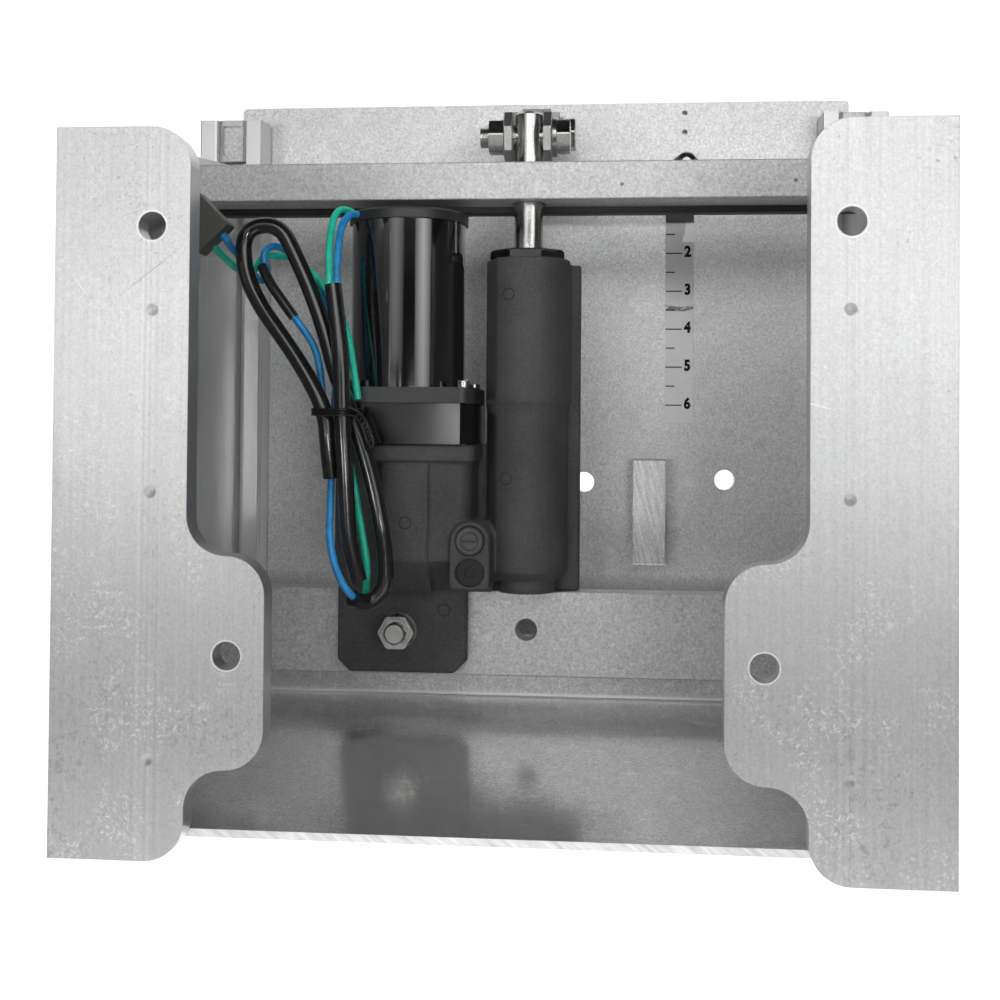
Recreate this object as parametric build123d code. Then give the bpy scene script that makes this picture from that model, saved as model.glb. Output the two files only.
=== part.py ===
from build123d import *
import os
import math

# Hydraulic jack plate. All lengths in mm.
# X runs across the plate, Y from the transom face towards the engine, Z up.
# Origin: middle of the upper row of transom holes, on the transom face.
# Rest position: carriage fully down.

# ---- driving dimensions: transom brackets ----
FLANGE_T = 14.3
WALL_OUT = 211.0
WALL_T = 12.7
WALL_IN = WALL_OUT - WALL_T
WALL_END = 281.0
TOP_Z = 47.6
BOT_Z = -300.6
NARROW_X = 145.0
TAB_X = 107.0
TAB_TOP = -156.2
TAB_BOT = -256.9
CORNER_R = 19.0
TOP_SLOPE = 0.121
BOT_SLOPE = 0.161
HOLE_R = 6.75
UPPER_HOLE_X = 163.5
LOWER_HOLE_X = 125.0
HOLE_DROP = 203.2

# ---- driving dimensions: carriage ----
PLATE_X = 205.5
PLATE_FRONT = 292.1
PLATE_T = 12.7
PLATE_TOP = 126.0
ENGINE_UP_Z = 76.5
ENGINE_LOW_Z = ENGINE_UP_Z - HOLE_DROP
REBATE_X = 184.5
REBATE_D = 0.8
RAIL_IN = 185.0
RAIL_OUT = 226.7
GROOVE_IN = 195.1
GROOVE_OUT = 214.3
RAIL_FRONT = 265.0
GROOVE_FLOOR = 284.3
RAIL_TOP = 112.0
RAIL_BOT = -292.0
SLIDE_GAP = 0.3

# ---- driving dimensions: cross members ----
UP_BAR_Y0, UP_BAR_Y1 = 169.0, 209.0
UP_BAR_Z0, UP_BAR_Z1 = 40.6, 62.8
LOW_BAR_Y0, LOW_BAR_Y1 = 190.0, 209.0
LOW_BAR_Z0, LOW_BAR_Z1 = -242.3, -191.5
BOTTOM_T = 4.2

# ---- driving dimensions: actuator ----
CX, CY = 1.4, 187.0
COL_R = 25.2
COL_LOW_R = 23.8
COL_TOP = 6.3
BORE_R = 17.5
BORE_BOT = -180.0
ROD_R = 8.7
ROD_TOP = 95.0
PISTON_T = 16.0
MX, MY = -69.0, 175.0
CAN_R = 33.8
CAN_T = 2.4
CAN_TOP, CAN_BOT = 26.0, -71.0
CAP_R = 35.3
CAP_TOP = 32.4
FLANGE_BOT = -80.2
PUMP_BOT = -103.7
GEAR_DIST = 18.3
GEAR_TEETH = 12

os.makedirs("parts", exist_ok=True)


def box(x0, x1, y0, y1, z0, z1):
    return Pos((x0 + x1) / 2, (y0 + y1) / 2, (z0 + z1) / 2) * Box(abs(x1 - x0), abs(y1 - y0), abs(z1 - z0))


def cyl_z(x, y, z0, z1, r):
    return Pos(x, y, (z0 + z1) / 2) * Cylinder(r, z1 - z0)


def cyl_y(x, z, y0, y1, r):
    return Pos(x, (y0 + y1) / 2, z) * Rot(90, 0, 0) * Cylinder(r, y1 - y0)


def cyl_x(y, z, x0, x1, r):
    return Pos((x0 + x1) / 2, y, z) * Rot(0, 90, 0) * Cylinder(r, x1 - x0)


def cone_y(x, z, y0, y1, r0, r1):
    # radius r0 at y0, r1 at y1
    return Pos(x, (y0 + y1) / 2, z) * Rot(-90, 0, 0) * Cone(r0, r1, y1 - y0)


def prism_xz(points, y0, y1, fillets=()):
    # closed outline in X, Z; fillets: (x, z, radius)
    wire = Polyline(*points, close=True)
    face = make_face(wire)
    for (px, pz, rad) in fillets:
        v = min(face.vertices(), key=lambda q: (q.X - px) ** 2 + (q.Y - pz) ** 2)
        face = fillet(v, rad)
    solid = extrude(face, amount=(y1 - y0))
    # sketch X,Y -> world X,Z ; extrusion (+Z) -> world -Y
    return Pos(0, y1, 0) * Rot(90, 0, 0) * solid


def side_frame(x, y, z):
    # local x -> Y, local y -> Z, local z -> X
    return Plane(origin=(x, y, z), x_dir=(0, 1, 0), z_dir=(1, 0, 0)).location


def prism_yz(points, x0, x1, fillets=()):
    # closed outline in Y, Z extruded along +X
    face = make_face(Polyline(*points, close=True))
    for (py, pz, rad) in fillets:
        v = min(face.vertices(), key=lambda q: (q.X - py) ** 2 + (q.Y - pz) ** 2)
        face = fillet(v, rad)
    solid = extrude(face, amount=(x1 - x0))
    return side_frame(x0, 0, 0) * solid


def prism_xy(points, z0, z1, fillets=()):
    face = make_face(Polyline(*points, close=True))
    for (px, py, rad) in fillets:
        v = min(face.vertices(), key=lambda q: (q.X - px) ** 2 + (q.Y - py) ** 2)
        face = fillet(v, rad)
    return Pos(0, 0, z0) * extrude(face, amount=(z1 - z0))


def hex_y(x, z, y0, y1, af):
    s = extrude(RegularPolygon(af / 2, 6, major_radius=False), amount=(y1 - y0))
    return Pos(x, y1, z) * Rot(90, 0, 0) * s


def hex_x(y, z, x0, x1, af, turn=0.0):
    s = extrude(RegularPolygon(af / 2, 6, major_radius=False), amount=(x1 - x0))
    return side_frame(x0, y, z) * Rot(0, 0, turn) * s


def save(shape, node):
    if isinstance(shape, (list, tuple)):
        shape = Compound(children=list(shape))
    export_step(shape, "parts/" + node + ".step")


# ================= cords: routes measured end to end =================
WIRE_R = 2.1
ROUTES = {
    "sleeve_loop": (4.75, [(-89.8, 121.5, -189.3), (-84.3, 131.0, -194.8), (-72.9, 132.0, -184.1), (-74.0, 132.0, -164.4), (-76.8, 131.0, -145.9),
                           (-83.6, 132.0, -116.7), (-93.7, 133.8, -88.0), (-103.8, 135.5, -64.7), (-110.7, 137.0, -40.1),
                           (-119.5, 138.5, -16.5), (-128.1, 139.5, 2.0), (-138.7, 140.0, 22.9), (-159.6, 139.0, 19.7),
                           (-158.7, 138.0, -4.4), (-149.1, 137.0, -24.7), (-134.0, 135.0, -44.3), (-120.4, 132.5, -63.8),
                           (-108.3, 129.5, -85.3), (-106.6, 129.5, -106.2), (-104.8, 131.0, -123.1)]),
    "sleeve_centre": (4.75, [(-105.0, 131.0, -13.9), (-101.3, 128.0, -36.9), (-98.5, 125.5, -62.3), (-97.6, 124.0, -89.3),
                             (-95.6, 124.0, -116.1), (-94.3, 124.5, -141.8), (-92.8, 125.0, -161.9), (-87.6, 127.0, -180.4)]),
    "motor_lead_green": (WIRE_R, [(-96.5, 162.0, 29.2), (-103.2, 153.5, 34.2), (-107.8, 144.0, 28.5), (-108.4, 137.0, 13.6),
                                  (-108.2, 133.0, -0.6), (-107.1, 130.9, -14.6)]),
    "motor_lead_blue": (WIRE_R, [(-92.0, 156.0, 28.9), (-98.0, 148.5, 30.4), (-102.8, 143.0, 23.1), (-103.4, 137.0, 10.7),
                                 (-103.3, 133.5, -2.3), (-102.8, 130.9, -14.9)]),
    "wire_green_long": (WIRE_R, [(-173.3, 124.0, 8.7), (-172.6, 135.0, 5.6), (-170.0, 148.0, 1.0), (-166.4, 156.0, -2.8), (-161.2, 159.0, -4.8),
                                 (-157.6, 160.0, -0.5), (-154.8, 159.5, 4.7), (-149.7, 158.5, 6.9), (-142.7, 155.2, 5.4), (-133.3, 153.0, 5.0),
                                 (-122.6, 151.0, -3.5), (-112.6, 149.0, -14.8), (-103.5, 146.0, -28.5), (-97.5, 142.5, -45.4), (-94.2, 139.2, -62.7),
                                 (-91.4, 137.9, -78.6)]),
    "wire_blue_long": (WIRE_R, [(-164.3, 120.0, 11.5), (-166.5, 132.0, 10.4), (-166.2, 141.0, 8.2), (-164.2, 148.5, 4.5), (-160.3, 151.5, -1.0),
                                (-156.2, 152.0, -6.8), (-150.8, 152.0, -9.7), (-148.0, 151.5, -4.5), (-150.5, 150.5, 1.8), (-150.7, 151.0, 7.7),
                                (-147.2, 153.5, 11.5), (-142.0, 156.5, 11.3), (-132.9, 160.3, 5.4), (-123.4, 157.0, -5.1), (-115.8, 153.0, -18.5),
                                (-110.3, 150.0, -32.7), (-107.1, 147.0, -50.2), (-105.4, 142.5, -69.2), (-105.6, 139.8, -86.0)]),
    "sleeve_thin": (3.0, [(-149.8, 144.0, -1.4), (-145.5, 141.5, -9.8), (-139.0, 139.5, -18.7), (-129.3, 138.7, -31.6)]),
    "wire_blue_inner": (WIRE_R, [(-133.4, 139.0, -26.1), (-124.8, 139.5, -37.1), (-116.8, 141.0, -49.0),
                                 (-113.2, 141.0, -68.0), (-111.1, 138.6, -86.0)]),
    "wire_blue_bottom": (WIRE_R, [(-104.8, 131.0, -122.3), (-104.6, 128.5, -137.7), (-104.5, 125.0, -153.2),
                                  (-101.2, 121.0, -169.0), (-96.0, 118.5, -180.3), (-90.3, 121.0, -188.7), (-87.4, 126.5, -192.1)]),
    "wire_green_bottom": (WIRE_R, [(-100.1, 136.0, -92.6), (-97.4, 137.5, -108.5), (-93.5, 137.5, -124.9),
                                   (-89.9, 136.5, -143.5), (-86.5, 136.0, -162.1), (-84.4, 136.5, -178.5), (-87.1, 141.0, -193.8)]),
}


def cord(name):
    rad, pts = ROUTES[name]
    pts = [Vector(*p) for p in pts]
    runs = [(pts[i + 1] - pts[i]).length for i in range(len(pts) - 1)]
    radii = []
    for i in range(1, len(pts) - 1):
        a = (pts[i] - pts[i - 1]).normalized()
        b = (pts[i + 1] - pts[i]).normalized()
        th = math.acos(max(-1.0, min(1.0, a.dot(b))))
        radii.append(0.45 * min(runs[i - 1], runs[i]) / math.tan(th / 2))
    wire = FilletPolyline(*pts, radius=radii)
    start = Plane(origin=pts[0], z_dir=(pts[1] - pts[0]).normalized())
    tube = sweep(start * Circle(rad), path=wire)
    print(name, "length", round(wire.length, 1), "radii", [round(r, 1) for r in radii],
          "volume ratio", round(tube.volume / (math.pi * rad * rad * wire.length), 4))
    return tube


tubes = {n: cord(n) for n in ROUTES}
for n, t in tubes.items():
    save(t, n)

# ================= transom brackets =================


def bracket(side):
    s = side
    pts = [(s * WALL_OUT, TOP_Z), (s * NARROW_X, TOP_Z), (s * NARROW_X, TAB_TOP), (s * TAB_X, TAB_TOP),
           (s * TAB_X, TAB_BOT), (s * NARROW_X, TAB_BOT), (s * NARROW_X, BOT_Z), (s * WALL_OUT, BOT_Z)]
    fl = [(s * NARROW_X, TOP_Z, CORNER_R), (s * NARROW_X, TAB_TOP, CORNER_R - 0.2), (s * TAB_X, TAB_TOP, CORNER_R - 0.2),
          (s * TAB_X, TAB_BOT, CORNER_R - 0.2), (s * NARROW_X, TAB_BOT, CORNER_R - 0.2), (s * NARROW_X, BOT_Z, CORNER_R)]
    flange = prism_xz(pts, 0.0, FLANGE_T, fl)
    x0, x1 = sorted((s * WALL_IN, s * WALL_OUT))
    wall = prism_yz([(0, TOP_Z), (WALL_END, TOP_Z + TOP_SLOPE * WALL_END), (WALL_END, BOT_Z + BOT_SLOPE * WALL_END), (0, BOT_Z)], x0, x1)
    body = flange + wall
    for (hx, hz) in ((UPPER_HOLE_X, 0.0), (LOWER_HOLE_X, -HOLE_DROP)):
        body -= cyl_y(s * hx, hz, -1, FLANGE_T + 1, HOLE_R)
        body -= cone_y(s * hx, hz, FLANGE_T - 0.7, FLANGE_T + 0.01, HOLE_R, HOLE_R + 0.7)
    for dz in (-40.0, -126.4, -253.0):
        body -= cone_y(s * 163.0, dz, -0.01, 1.7, 3.0, 0.05)
    # countersunk holes through the wall into the cross members
    for (hy, hz) in SCREW_HOLES:
        a, b = sorted((s * (WALL_IN - 1), s * (WALL_OUT + 1)))
        body -= cyl_x(hy, hz, a, b, SIDE_R)
        body -= csk(hy, hz, s)
    return body


SCREW_HOLES = [(178.5, 51.7), (199.5, 51.7), (199.5, -203.5), (199.5, -230.5)]
SIDE_R, SIDE_HEAD_R = 4.0, 8.6
SIDE_H = SIDE_HEAD_R - SIDE_R


def csk(y, z, s):
    # 90 degree countersink on the outer face
    c = Cone(SIDE_R, SIDE_HEAD_R, SIDE_H)
    return Pos(s * (WALL_OUT - SIDE_H / 2), y, z) * Rot(0, s * 90, 0) * c


def side_screw(y, z, s):
    head = Cone(SIDE_R, SIDE_HEAD_R, SIDE_H)
    head -= Pos(0, 0, 0.4) * extrude(RegularPolygon(2.5, 6, major_radius=False), amount=3)
    a, b = sorted((s * (WALL_OUT - SIDE_H), s * (WALL_IN - 22)))
    return Pos(s * (WALL_OUT - SIDE_H / 2), y, z) * Rot(0, s * 90, 0) * head + cyl_x(y, z, a, b, SIDE_R)


save(bracket(-1), "transom_bracket_left")
save(bracket(1), "transom_bracket_right")
save([side_screw(y, z, s) for (y, z) in SCREW_HOLES for s in (-1, 1)], "crossbar_screws")

# ================= cross members =================
upper = box(-WALL_IN, WALL_IN, UP_BAR_Y0, UP_BAR_Y1, UP_BAR_Z0, UP_BAR_Z1)
upper = chamfer(upper.edges().filter_by(Axis.X), 0.6)
upper -= cyl_z(CX, CY, UP_BAR_Z0 - 1, UP_BAR_Z1 + 1, 10.0)
lower = box(-WALL_IN, WALL_IN, LOW_BAR_Y0, LOW_BAR_Y1, LOW_BAR_Z0, LOW_BAR_Z1)
lower = chamfer(lower.edges().filter_by(Axis.X), 0.5)
FOOT_BOLT = (-74.0, -215.0)
for (hx, hz, r) in ((CX, -214.5, 6.6), (FOOT_BOLT[0], FOOT_BOLT[1], 6.6)):
    lower -= cyl_y(hx, hz, LOW_BAR_Y0 - 1, LOW_BAR_Y1 + 1, r)
for (y, z) in SCREW_HOLES[:2]:
    for s in (-1, 1):
        upper -= cyl_x(y, z, min(s * WALL_IN, s * (WALL_IN - 22)), max(s * WALL_IN, s * (WALL_IN - 22)), SIDE_R)
for (y, z) in SCREW_HOLES[2:]:
    for s in (-1, 1):
        lower -= cyl_x(y, z, min(s * WALL_IN, s * (WALL_IN - 22)), max(s * WALL_IN, s * (WALL_IN - 22)), SIDE_R)
LIP_X = (-160.0, 0.0, 160.0)
for lx in LIP_X:
    lower -= cyl_y(lx, -236.0, LOW_BAR_Y1 - 9, LOW_BAR_Y1 + 1, 2.5)
save(upper, "upper_crossbar")
save(lower, "lower_crossbar")

bumper = box(-WALL_IN + 1, WALL_IN - 1, 197.4, 208.6, 36.6, UP_BAR_Z0)
bumper = fillet(bumper.edges().filter_by(Axis.X).sort_by(Axis.Z)[:2], 1.0)
save(bumper, "crossbar_bumper")

# bottom plate: sloping floor, folded up behind the lower bar
ang = math.atan(BOT_SLOPE)
yA, zA = 16.0, -289.0
yB = LOW_BAR_Y1
zB = zA + (yB - yA) * BOT_SLOPE
dy, dz = BOTTOM_T * math.sin(ang), BOTTOM_T * math.cos(ang)
LIP_TOP = -220.0
floor_pts = [(yA, zA), (yB, zB), (yB, LIP_TOP), (yB + BOTTOM_T, LIP_TOP), (yB + BOTTOM_T, zB - BOTTOM_T * 1.02 + BOTTOM_T * BOT_SLOPE),
             (yA + dy, zA - dz)]
bottom = prism_yz(floor_pts, -WALL_IN, WALL_IN, [(yB, zB, 2.0), (yB + BOTTOM_T, zB - BOTTOM_T * 1.02 + BOTTOM_T * BOT_SLOPE, 5.5)])
for lx in LIP_X:
    bottom -= cyl_y(lx, -236.0, yB - 1, yB + BOTTOM_T + 1, 2.5)
bottom -= cyl_y(-168.0, -252.0, yB - 1, yB + BOTTOM_T + 1, 1.2)
bottom -= cyl_y(FOOT_BOLT[0], FOOT_BOLT[1], yB - 1, yB + BOTTOM_T + 1, 13.0)
save(bottom, "bottom_plate")


def button_screw_y(x, z, y_face, length, r, head_r, head_h, out):
    # out = +1: head stands on the +Y side of y_face, shank runs to -Y
    if out > 0:
        sh = cyl_y(x, z, y_face - length, y_face, r)
        hd = cone_y(x, z, y_face, y_face + head_h, head_r, head_r * 0.62)
        hd -= hex_y(x, z, y_face + head_h * 0.4, y_face + head_h + 1, r * 1.1)
    else:
        sh = cyl_y(x, z, y_face, y_face + length, r)
        hd = cone_y(x, z, y_face - head_h, y_face, head_r * 0.62, head_r)
        hd -= hex_y(x, z, y_face - head_h - 1, y_face - head_h * 0.4, r * 1.1)
    return sh + hd


save([button_screw_y(lx, -236.0, yB + BOTTOM_T, BOTTOM_T + 8.5, 2.5, 4.9, 2.8, 1) for lx in LIP_X], "plate_screws")

# ================= slide rails, liners =================


def rail(s):
    xs = [RAIL_IN, GROOVE_IN, GROOVE_IN, GROOVE_OUT, GROOVE_OUT, RAIL_OUT, RAIL_OUT, RAIL_IN]
    back = PLATE_FRONT + REBATE_D
    ys = [RAIL_FRONT, RAIL_FRONT, GROOVE_FLOOR, GROOVE_FLOOR, RAIL_FRONT, RAIL_FRONT, back, back]
    pts = [(s * x, y) for x, y in zip(xs, ys)]
    fl = [(s * GROOVE_OUT, RAIL_FRONT, 2.5), (s * RAIL_OUT, RAIL_FRONT, 1.0), (s * RAIL_IN, RAIL_FRONT, 1.0), (s * RAIL_OUT, back, 2.0)]
    r = prism_xy(pts, RAIL_BOT, RAIL_TOP, fl)
    for z in RAIL_SCREW_Z:
        r -= cyl_y(s * RAIL_SCREW_X, z, GROOVE_FLOOR + 1.5, back + 1, 4.0)
    return r


RAIL_SCREW_X = 195.5
RAIL_SCREW_Z = (95.0, 12.0, -72.0, -180.0, -275.0)
save(rail(-1), "slide_rail_left")
save(rail(1), "slide_rail_right")


# stop block closing the top of each groove, with a round-bottomed pocket in its front face
STOP_Z0 = 84.2


def rail_stop(s):
    a, b = GROOVE_IN + 0.1, GROOVE_OUT - 0.1
    x0, x1 = min(s * a, s * b), max(s * a, s * b)
    blk = box(x0, x1, RAIL_FRONT + 0.8, GROOVE_FLOOR, STOP_Z0, RAIL_TOP)
    blk = chamfer(blk.edges().filter_by(Axis.Z).group_by(Axis.Y)[0], 2.6)
    xm = s * (a + b) / 2
    pocket = prism_xz([(xm - 6.6, RAIL_TOP - 4.0), (xm + 6.6, RAIL_TOP - 4.0), (xm + 6.6, STOP_Z0 + 1.6), (xm - 6.6, STOP_Z0 + 1.6)],
                      RAIL_FRONT - 1.0, RAIL_FRONT + 3.4, [(xm - 6.6, STOP_Z0 + 1.6, 5.6), (xm + 6.6, STOP_Z0 + 1.6, 5.6)])
    return blk - pocket


save([rail_stop(-1), rail_stop(1)], "rail_stops")


def liner(s):
    a, b = GROOVE_IN, WALL_IN - SLIDE_GAP
    c, d = WALL_OUT + SLIDE_GAP, GROOVE_OUT
    f0, f1 = GROOVE_FLOOR - 2.6, GROOVE_FLOOR
    y0 = RAIL_FRONT + 3.0
    pts = [(s * a, y0), (s * b, y0), (s * b, f0), (s * c, f0), (s * c, y0), (s * d, y0), (s * d, f1), (s * a, f1)]
    return prism_xy(pts, RAIL_BOT + 2, STOP_Z0 - 1)


save(liner(-1), "slide_liner_left")
save(liner(1), "slide_liner_right")

# ================= engine plate =================
plate = box(-PLATE_X, PLATE_X, PLATE_FRONT, PLATE_FRONT + PLATE_T, BOT_Z, PLATE_TOP)
plate = fillet(plate.edges().filter_by(Axis.Y), 3.0)
for s in (-1, 1):
    plate -= box(s * REBATE_X, s * (PLATE_X + 1), PLATE_FRONT - 1, PLATE_FRONT + REBATE_D, BOT_Z - 1, PLATE_TOP + 1)
    for (hx, hz) in ((UPPER_HOLE_X, ENGINE_UP_Z), (LOWER_HOLE_X, ENGINE_LOW_Z)):
        plate -= cyl_y(s * hx, hz, PLATE_FRONT - 1, PLATE_FRONT + PLATE_T + 1, HOLE_R)
    for z in RAIL_SCREW_Z:
        plate -= cyl_y(s * RAIL_SCREW_X, z, PLATE_FRONT - 1, PLATE_FRONT + PLATE_T + 1, 4.0)
        plate -= cone_y(s * RAIL_SCREW_X, z, PLATE_FRONT + PLATE_T - 4.4, PLATE_FRONT + PLATE_T, 4.0, 8.4)
plate -= cyl_y(31.6, -129.0, PLATE_FRONT - 1, PLATE_FRONT + PLATE_T + 1, 6.75)
for z in (118.9, 106.1):
    plate -= cyl_y(97.6, z, PLATE_FRONT - 1, PLATE_FRONT + 8, 1.7)
BLOCK_BOLTS = ((CX, 103.5), (CX, 88.0))
LB_Y0, LB_Z0, LB_Z1, LB_W = 240.0, 80.0, 112.0, 19.0
CLIP_SCREW = (98.6, 84.7)
PB_BOLTS = (-133.0, -165.0)
for (bx, bz) in BLOCK_BOLTS:
    plate -= cyl_y(bx, bz, PLATE_FRONT - 1, PLATE_FRONT + PLATE_T + 1, 4.0)
    plate -= cone_y(bx, bz, PLATE_FRONT + PLATE_T - 4.0, PLATE_FRONT + PLATE_T, 4.0, 8.0)
plate -= cyl_y(CLIP_SCREW[0], CLIP_SCREW[1], PLATE_FRONT - 1, PLATE_FRONT + 9, 2.5)
for z in PB_BOLTS:
    plate -= cyl_y(74.9, z, PLATE_FRONT - 1, PLATE_FRONT + PLATE_T + 1, 3.0)
    plate -= cone_y(74.9, z, PLATE_FRONT + PLATE_T - 3.2, PLATE_FRONT + PLATE_T, 3.0, 6.2)
save(plate, "engine_plate")


def flat_screw_back(x, z, y_head, r, head_r, total):
    # countersunk screw, head flush with the rear face, pointing to -Y
    h = head_r - r
    b = cyl_y(x, z, y_head - total, y_head - h, r) + cone_y(x, z, y_head - h, y_head, r, head_r)
    return b - hex_y(x, z, y_head - h * 0.75, y_head + 1, r * 1.15)


YB = PLATE_FRONT + PLATE_T
save([flat_screw_back(s * RAIL_SCREW_X, z, YB, 4.0, 8.4, YB - GROOVE_FLOOR - 1.5) for s in (-1, 1) for z in RAIL_SCREW_Z], "rail_screws")
save([flat_screw_back(bx, bz, YB, 4.0, 8.0, YB - (PLATE_FRONT - 22)) for (bx, bz) in BLOCK_BOLTS], "block_screws")
save([flat_screw_back(74.9, z, YB, 3.0, 6.2, YB - (PLATE_FRONT - 12)) for z in PB_BOLTS], "plate_block_screws")

# block on the plate front
pblk = box(64.3, 85.5, 273.0, PLATE_FRONT, -182.2, -113.2)
pblk = chamfer(pblk.edges().filter_by(Axis.X), 0.8)
for z in PB_BOLTS:
    pblk -= cyl_y(74.9, z, PLATE_FRONT - 12, PLATE_FRONT + 1, 3.0)
save(pblk, "plate_block")

# height scale: strip with engraved ticks at every half unit
SC_X0, SC_X1 = 85.2, 103.8
SC_Z0, SC_Z1 = -89.0, 45.3
SC_T = 1.0
scale = box(SC_X0, SC_X1, PLATE_FRONT - SC_T, PLATE_FRONT, SC_Z0, SC_Z1)
for k in range(0, 10):
    z = 24.5 + 12.7 - 12.7 * k
    long_tick = (k % 2 == 1)
    scale -= box(SC_X0 - 1, SC_X0 + (10.4 if long_tick else 6.0), PLATE_FRONT - SC_T - 1, PLATE_FRONT - SC_T + 0.2, z - 0.35, z + 0.35)
save(scale, "height_scale")
clip_pts = [(SC_X0, SC_Z1), (SC_X1, SC_Z1), (SC_X1, 60.0), (108.0, 64.0), (108.0, 81.5), (105.0, 89.0), (92.2, 89.0), (SC_X0, 81.5)]
clip = prism_xz(clip_pts, PLATE_FRONT - 3.0, PLATE_FRONT, [(92.2, 89.0, 3.0), (105.0, 89.0, 2.5)])
clip -= cyl_y(CLIP_SCREW[0], CLIP_SCREW[1], PLATE_FRONT - 4, PLATE_FRONT + 1, 2.5)
save(clip, "scale_clip")
CS_F = PLATE_FRONT - 3.0
CS_R = 7.0
dome = Pos(CLIP_SCREW[0], CS_F + 6.66 - 3.2, CLIP_SCREW[1]) * Sphere(9.0)
dome = dome & cyl_y(CLIP_SCREW[0], CLIP_SCREW[1], CS_F - 5.0, CS_F, CS_R)
clip_screw = dome + cyl_y(CLIP_SCREW[0], CLIP_SCREW[1], CS_F, PLATE_FRONT + 9, 2.5)
save(clip_screw, "clip_screw")

# ================= lift link at the top of the rod =================
PIVOT = (CY, 80.8)
LINK = (255.0, 97.0)
LUG_L = (-12.9, -7.9)
LUG_R = (10.7, 15.7)
BOLT_R = 6.0
rod_flat = (CX - 8.2, CX + 8.2)
rod = cyl_z(CX, CY, -PISTON_T + BORE_BOT + 1.0 + PISTON_T * 2 - 1.0, ROD_TOP - 2.0, ROD_R)
rod_z0 = BORE_BOT + 1.0 + PISTON_T
rod = cyl_z(CX, CY, rod_z0, ROD_TOP, ROD_R)
rod = chamfer(rod.edges().sort_by(Axis.Z)[-1], 1.5)
rod -= box(CX - 20, rod_flat[0], CY - 20, CY + 20, 66.0, ROD_TOP + 1)
rod -= box(rod_flat[1], CX + 20, CY - 20, CY + 20, 66.0, ROD_TOP + 1)
rod -= cyl_x(PIVOT[0], PIVOT[1], CX - 20, CX + 20, BOLT_R)
rod += cyl_z(CX, CY, BORE_BOT + 1.0, rod_z0, 6.0)
save(rod, "lift_rod")
piston = cyl_z(CX, CY, BORE_BOT + 1.0, rod_z0, BORE_R - 0.08) - cyl_z(CX, CY, BORE_BOT, rod_z0 + 1, 6.0)
seal_z = (BORE_BOT + 7.0, BORE_BOT + 11.0)
piston -= cyl_z(CX, CY, seal_z[0], seal_z[1], BORE_R + 1) - cyl_z(CX, CY, seal_z[0], seal_z[1], BORE_R - 3.0)
save(piston, "piston")
seal = cyl_z(CX, CY, seal_z[0], seal_z[1], BORE_R - 0.03) - cyl_z(CX, CY, seal_z[0] - 1, seal_z[1] + 1, BORE_R - 3.0)
save(seal, "piston_seal")

uy, uz = LINK[0] - PIVOT[0], LINK[1] - PIVOT[1]
ul = math.hypot(uy, uz)
uy, uz = uy / ul, uz / ul
LW = 15.0


def link_pts():
    out = []
    for (a, b) in ((-15.5, -7.0), (-7.5, -LW), (ul + 7.5, -LW), (ul + 15.5, -7.0), (ul + 15.5, 7.0), (ul + 7.5, LW), (-7.5, LW), (-15.5, 7.0)):
        out.append((PIVOT[0] + uy * a - uz * b, PIVOT[1] + uz * a + uy * b))
    return out


def link_plate(x0, x1):
    p = prism_yz(link_pts(), x0, x1)
    p = chamfer(p.edges().filter_by(Axis.X, reverse=True).group_by(Axis.X)[0 if x0 < CX else -1], 0.5)
    p -= cyl_x(PIVOT[0], PIVOT[1], x0 - 1, x1 + 1, BOLT_R)
    p -= cyl_x(LINK[0], LINK[1], x0 - 1, x1 + 1, BOLT_R)
    return p


save([link_plate(*LUG_L), link_plate(*LUG_R)], "link_plates")

lift_block = box(CX - LB_W / 2, CX + LB_W / 2, LB_Y0, PLATE_FRONT, LB_Z0, LB_Z1)
lift_block = chamfer(lift_block.edges().filter_by(Axis.X).sort_by(Axis.Y)[:2], 5.0)
lift_block = box(LUG_L[1], LUG_R[0], LB_Y0, PLATE_FRONT, LB_Z0, LB_Z1)
lift_block = chamfer(lift_block.edges().filter_by(Axis.X).group_by(Axis.Y)[0], 5.0)
lift_block -= cyl_x(LINK[0], LINK[1], CX - 20, CX + 20, BOLT_R)
for (bx, bz) in BLOCK_BOLTS:
    lift_block -= cyl_y(bx, bz, PLATE_FRONT - 22, PLATE_FRONT + 1, 4.0)
save(lift_block, "lift_block")


def cross_bolt(y, z):
    b = cyl_x(y, z, -27.8, 18.3, BOLT_R)
    hd = hex_x(y, z, 18.3, 26.0, 18.9) & cyl_x(y, z, 18.3, 26.0, 10.6)
    return b + hd


def cross_nut(y, z):
    n = hex_x(y, z, -22.4, -12.9, 19.0) & cyl_x(y, z, -22.4, -12.9, 10.7)
    return n - cyl_x(y, z, -30, 0, BOLT_R)


def washer(y, z):
    return cyl_x(y, z, 15.7, 18.3, 12.0) - cyl_x(y, z, 15, 19, BOLT_R)


save([cross_bolt(*PIVOT), cross_bolt(*LINK)], "link_bolts")
save([cross_nut(*PIVOT), cross_nut(*LINK)], "link_nuts")
save([washer(*PIVOT), washer(*LINK)], "link_washers")
# spacer sleeves take up the gap between rod flats and link plates
sp = [cyl_x(PIVOT[0], PIVOT[1], a, b, 8.0) - cyl_x(PIVOT[0], PIVOT[1], a - 1, b + 1, BOLT_R)
      for (a, b) in ((LUG_L[1], rod_flat[0]), (rod_flat[1], LUG_R[0]))]
save(sp, "link_spacers")

# ================= actuator housing =================


def column_face(r):
    # round column with one flat cut along its left front side
    c = Pos(CX, CY) * Circle(r)
    ax, ay = CX - r, CY + 1.0
    bx = CX - 17.0
    by = CY - math.sqrt(r * r - 17.0 * 17.0)
    nx, ny = (by - ay), -(bx - ax)
    cut = make_face(Polyline((ax, ay), (bx, by), (bx - 40, by - 5), (ax - 40, ay), close=True))
    return c - cut


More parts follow.
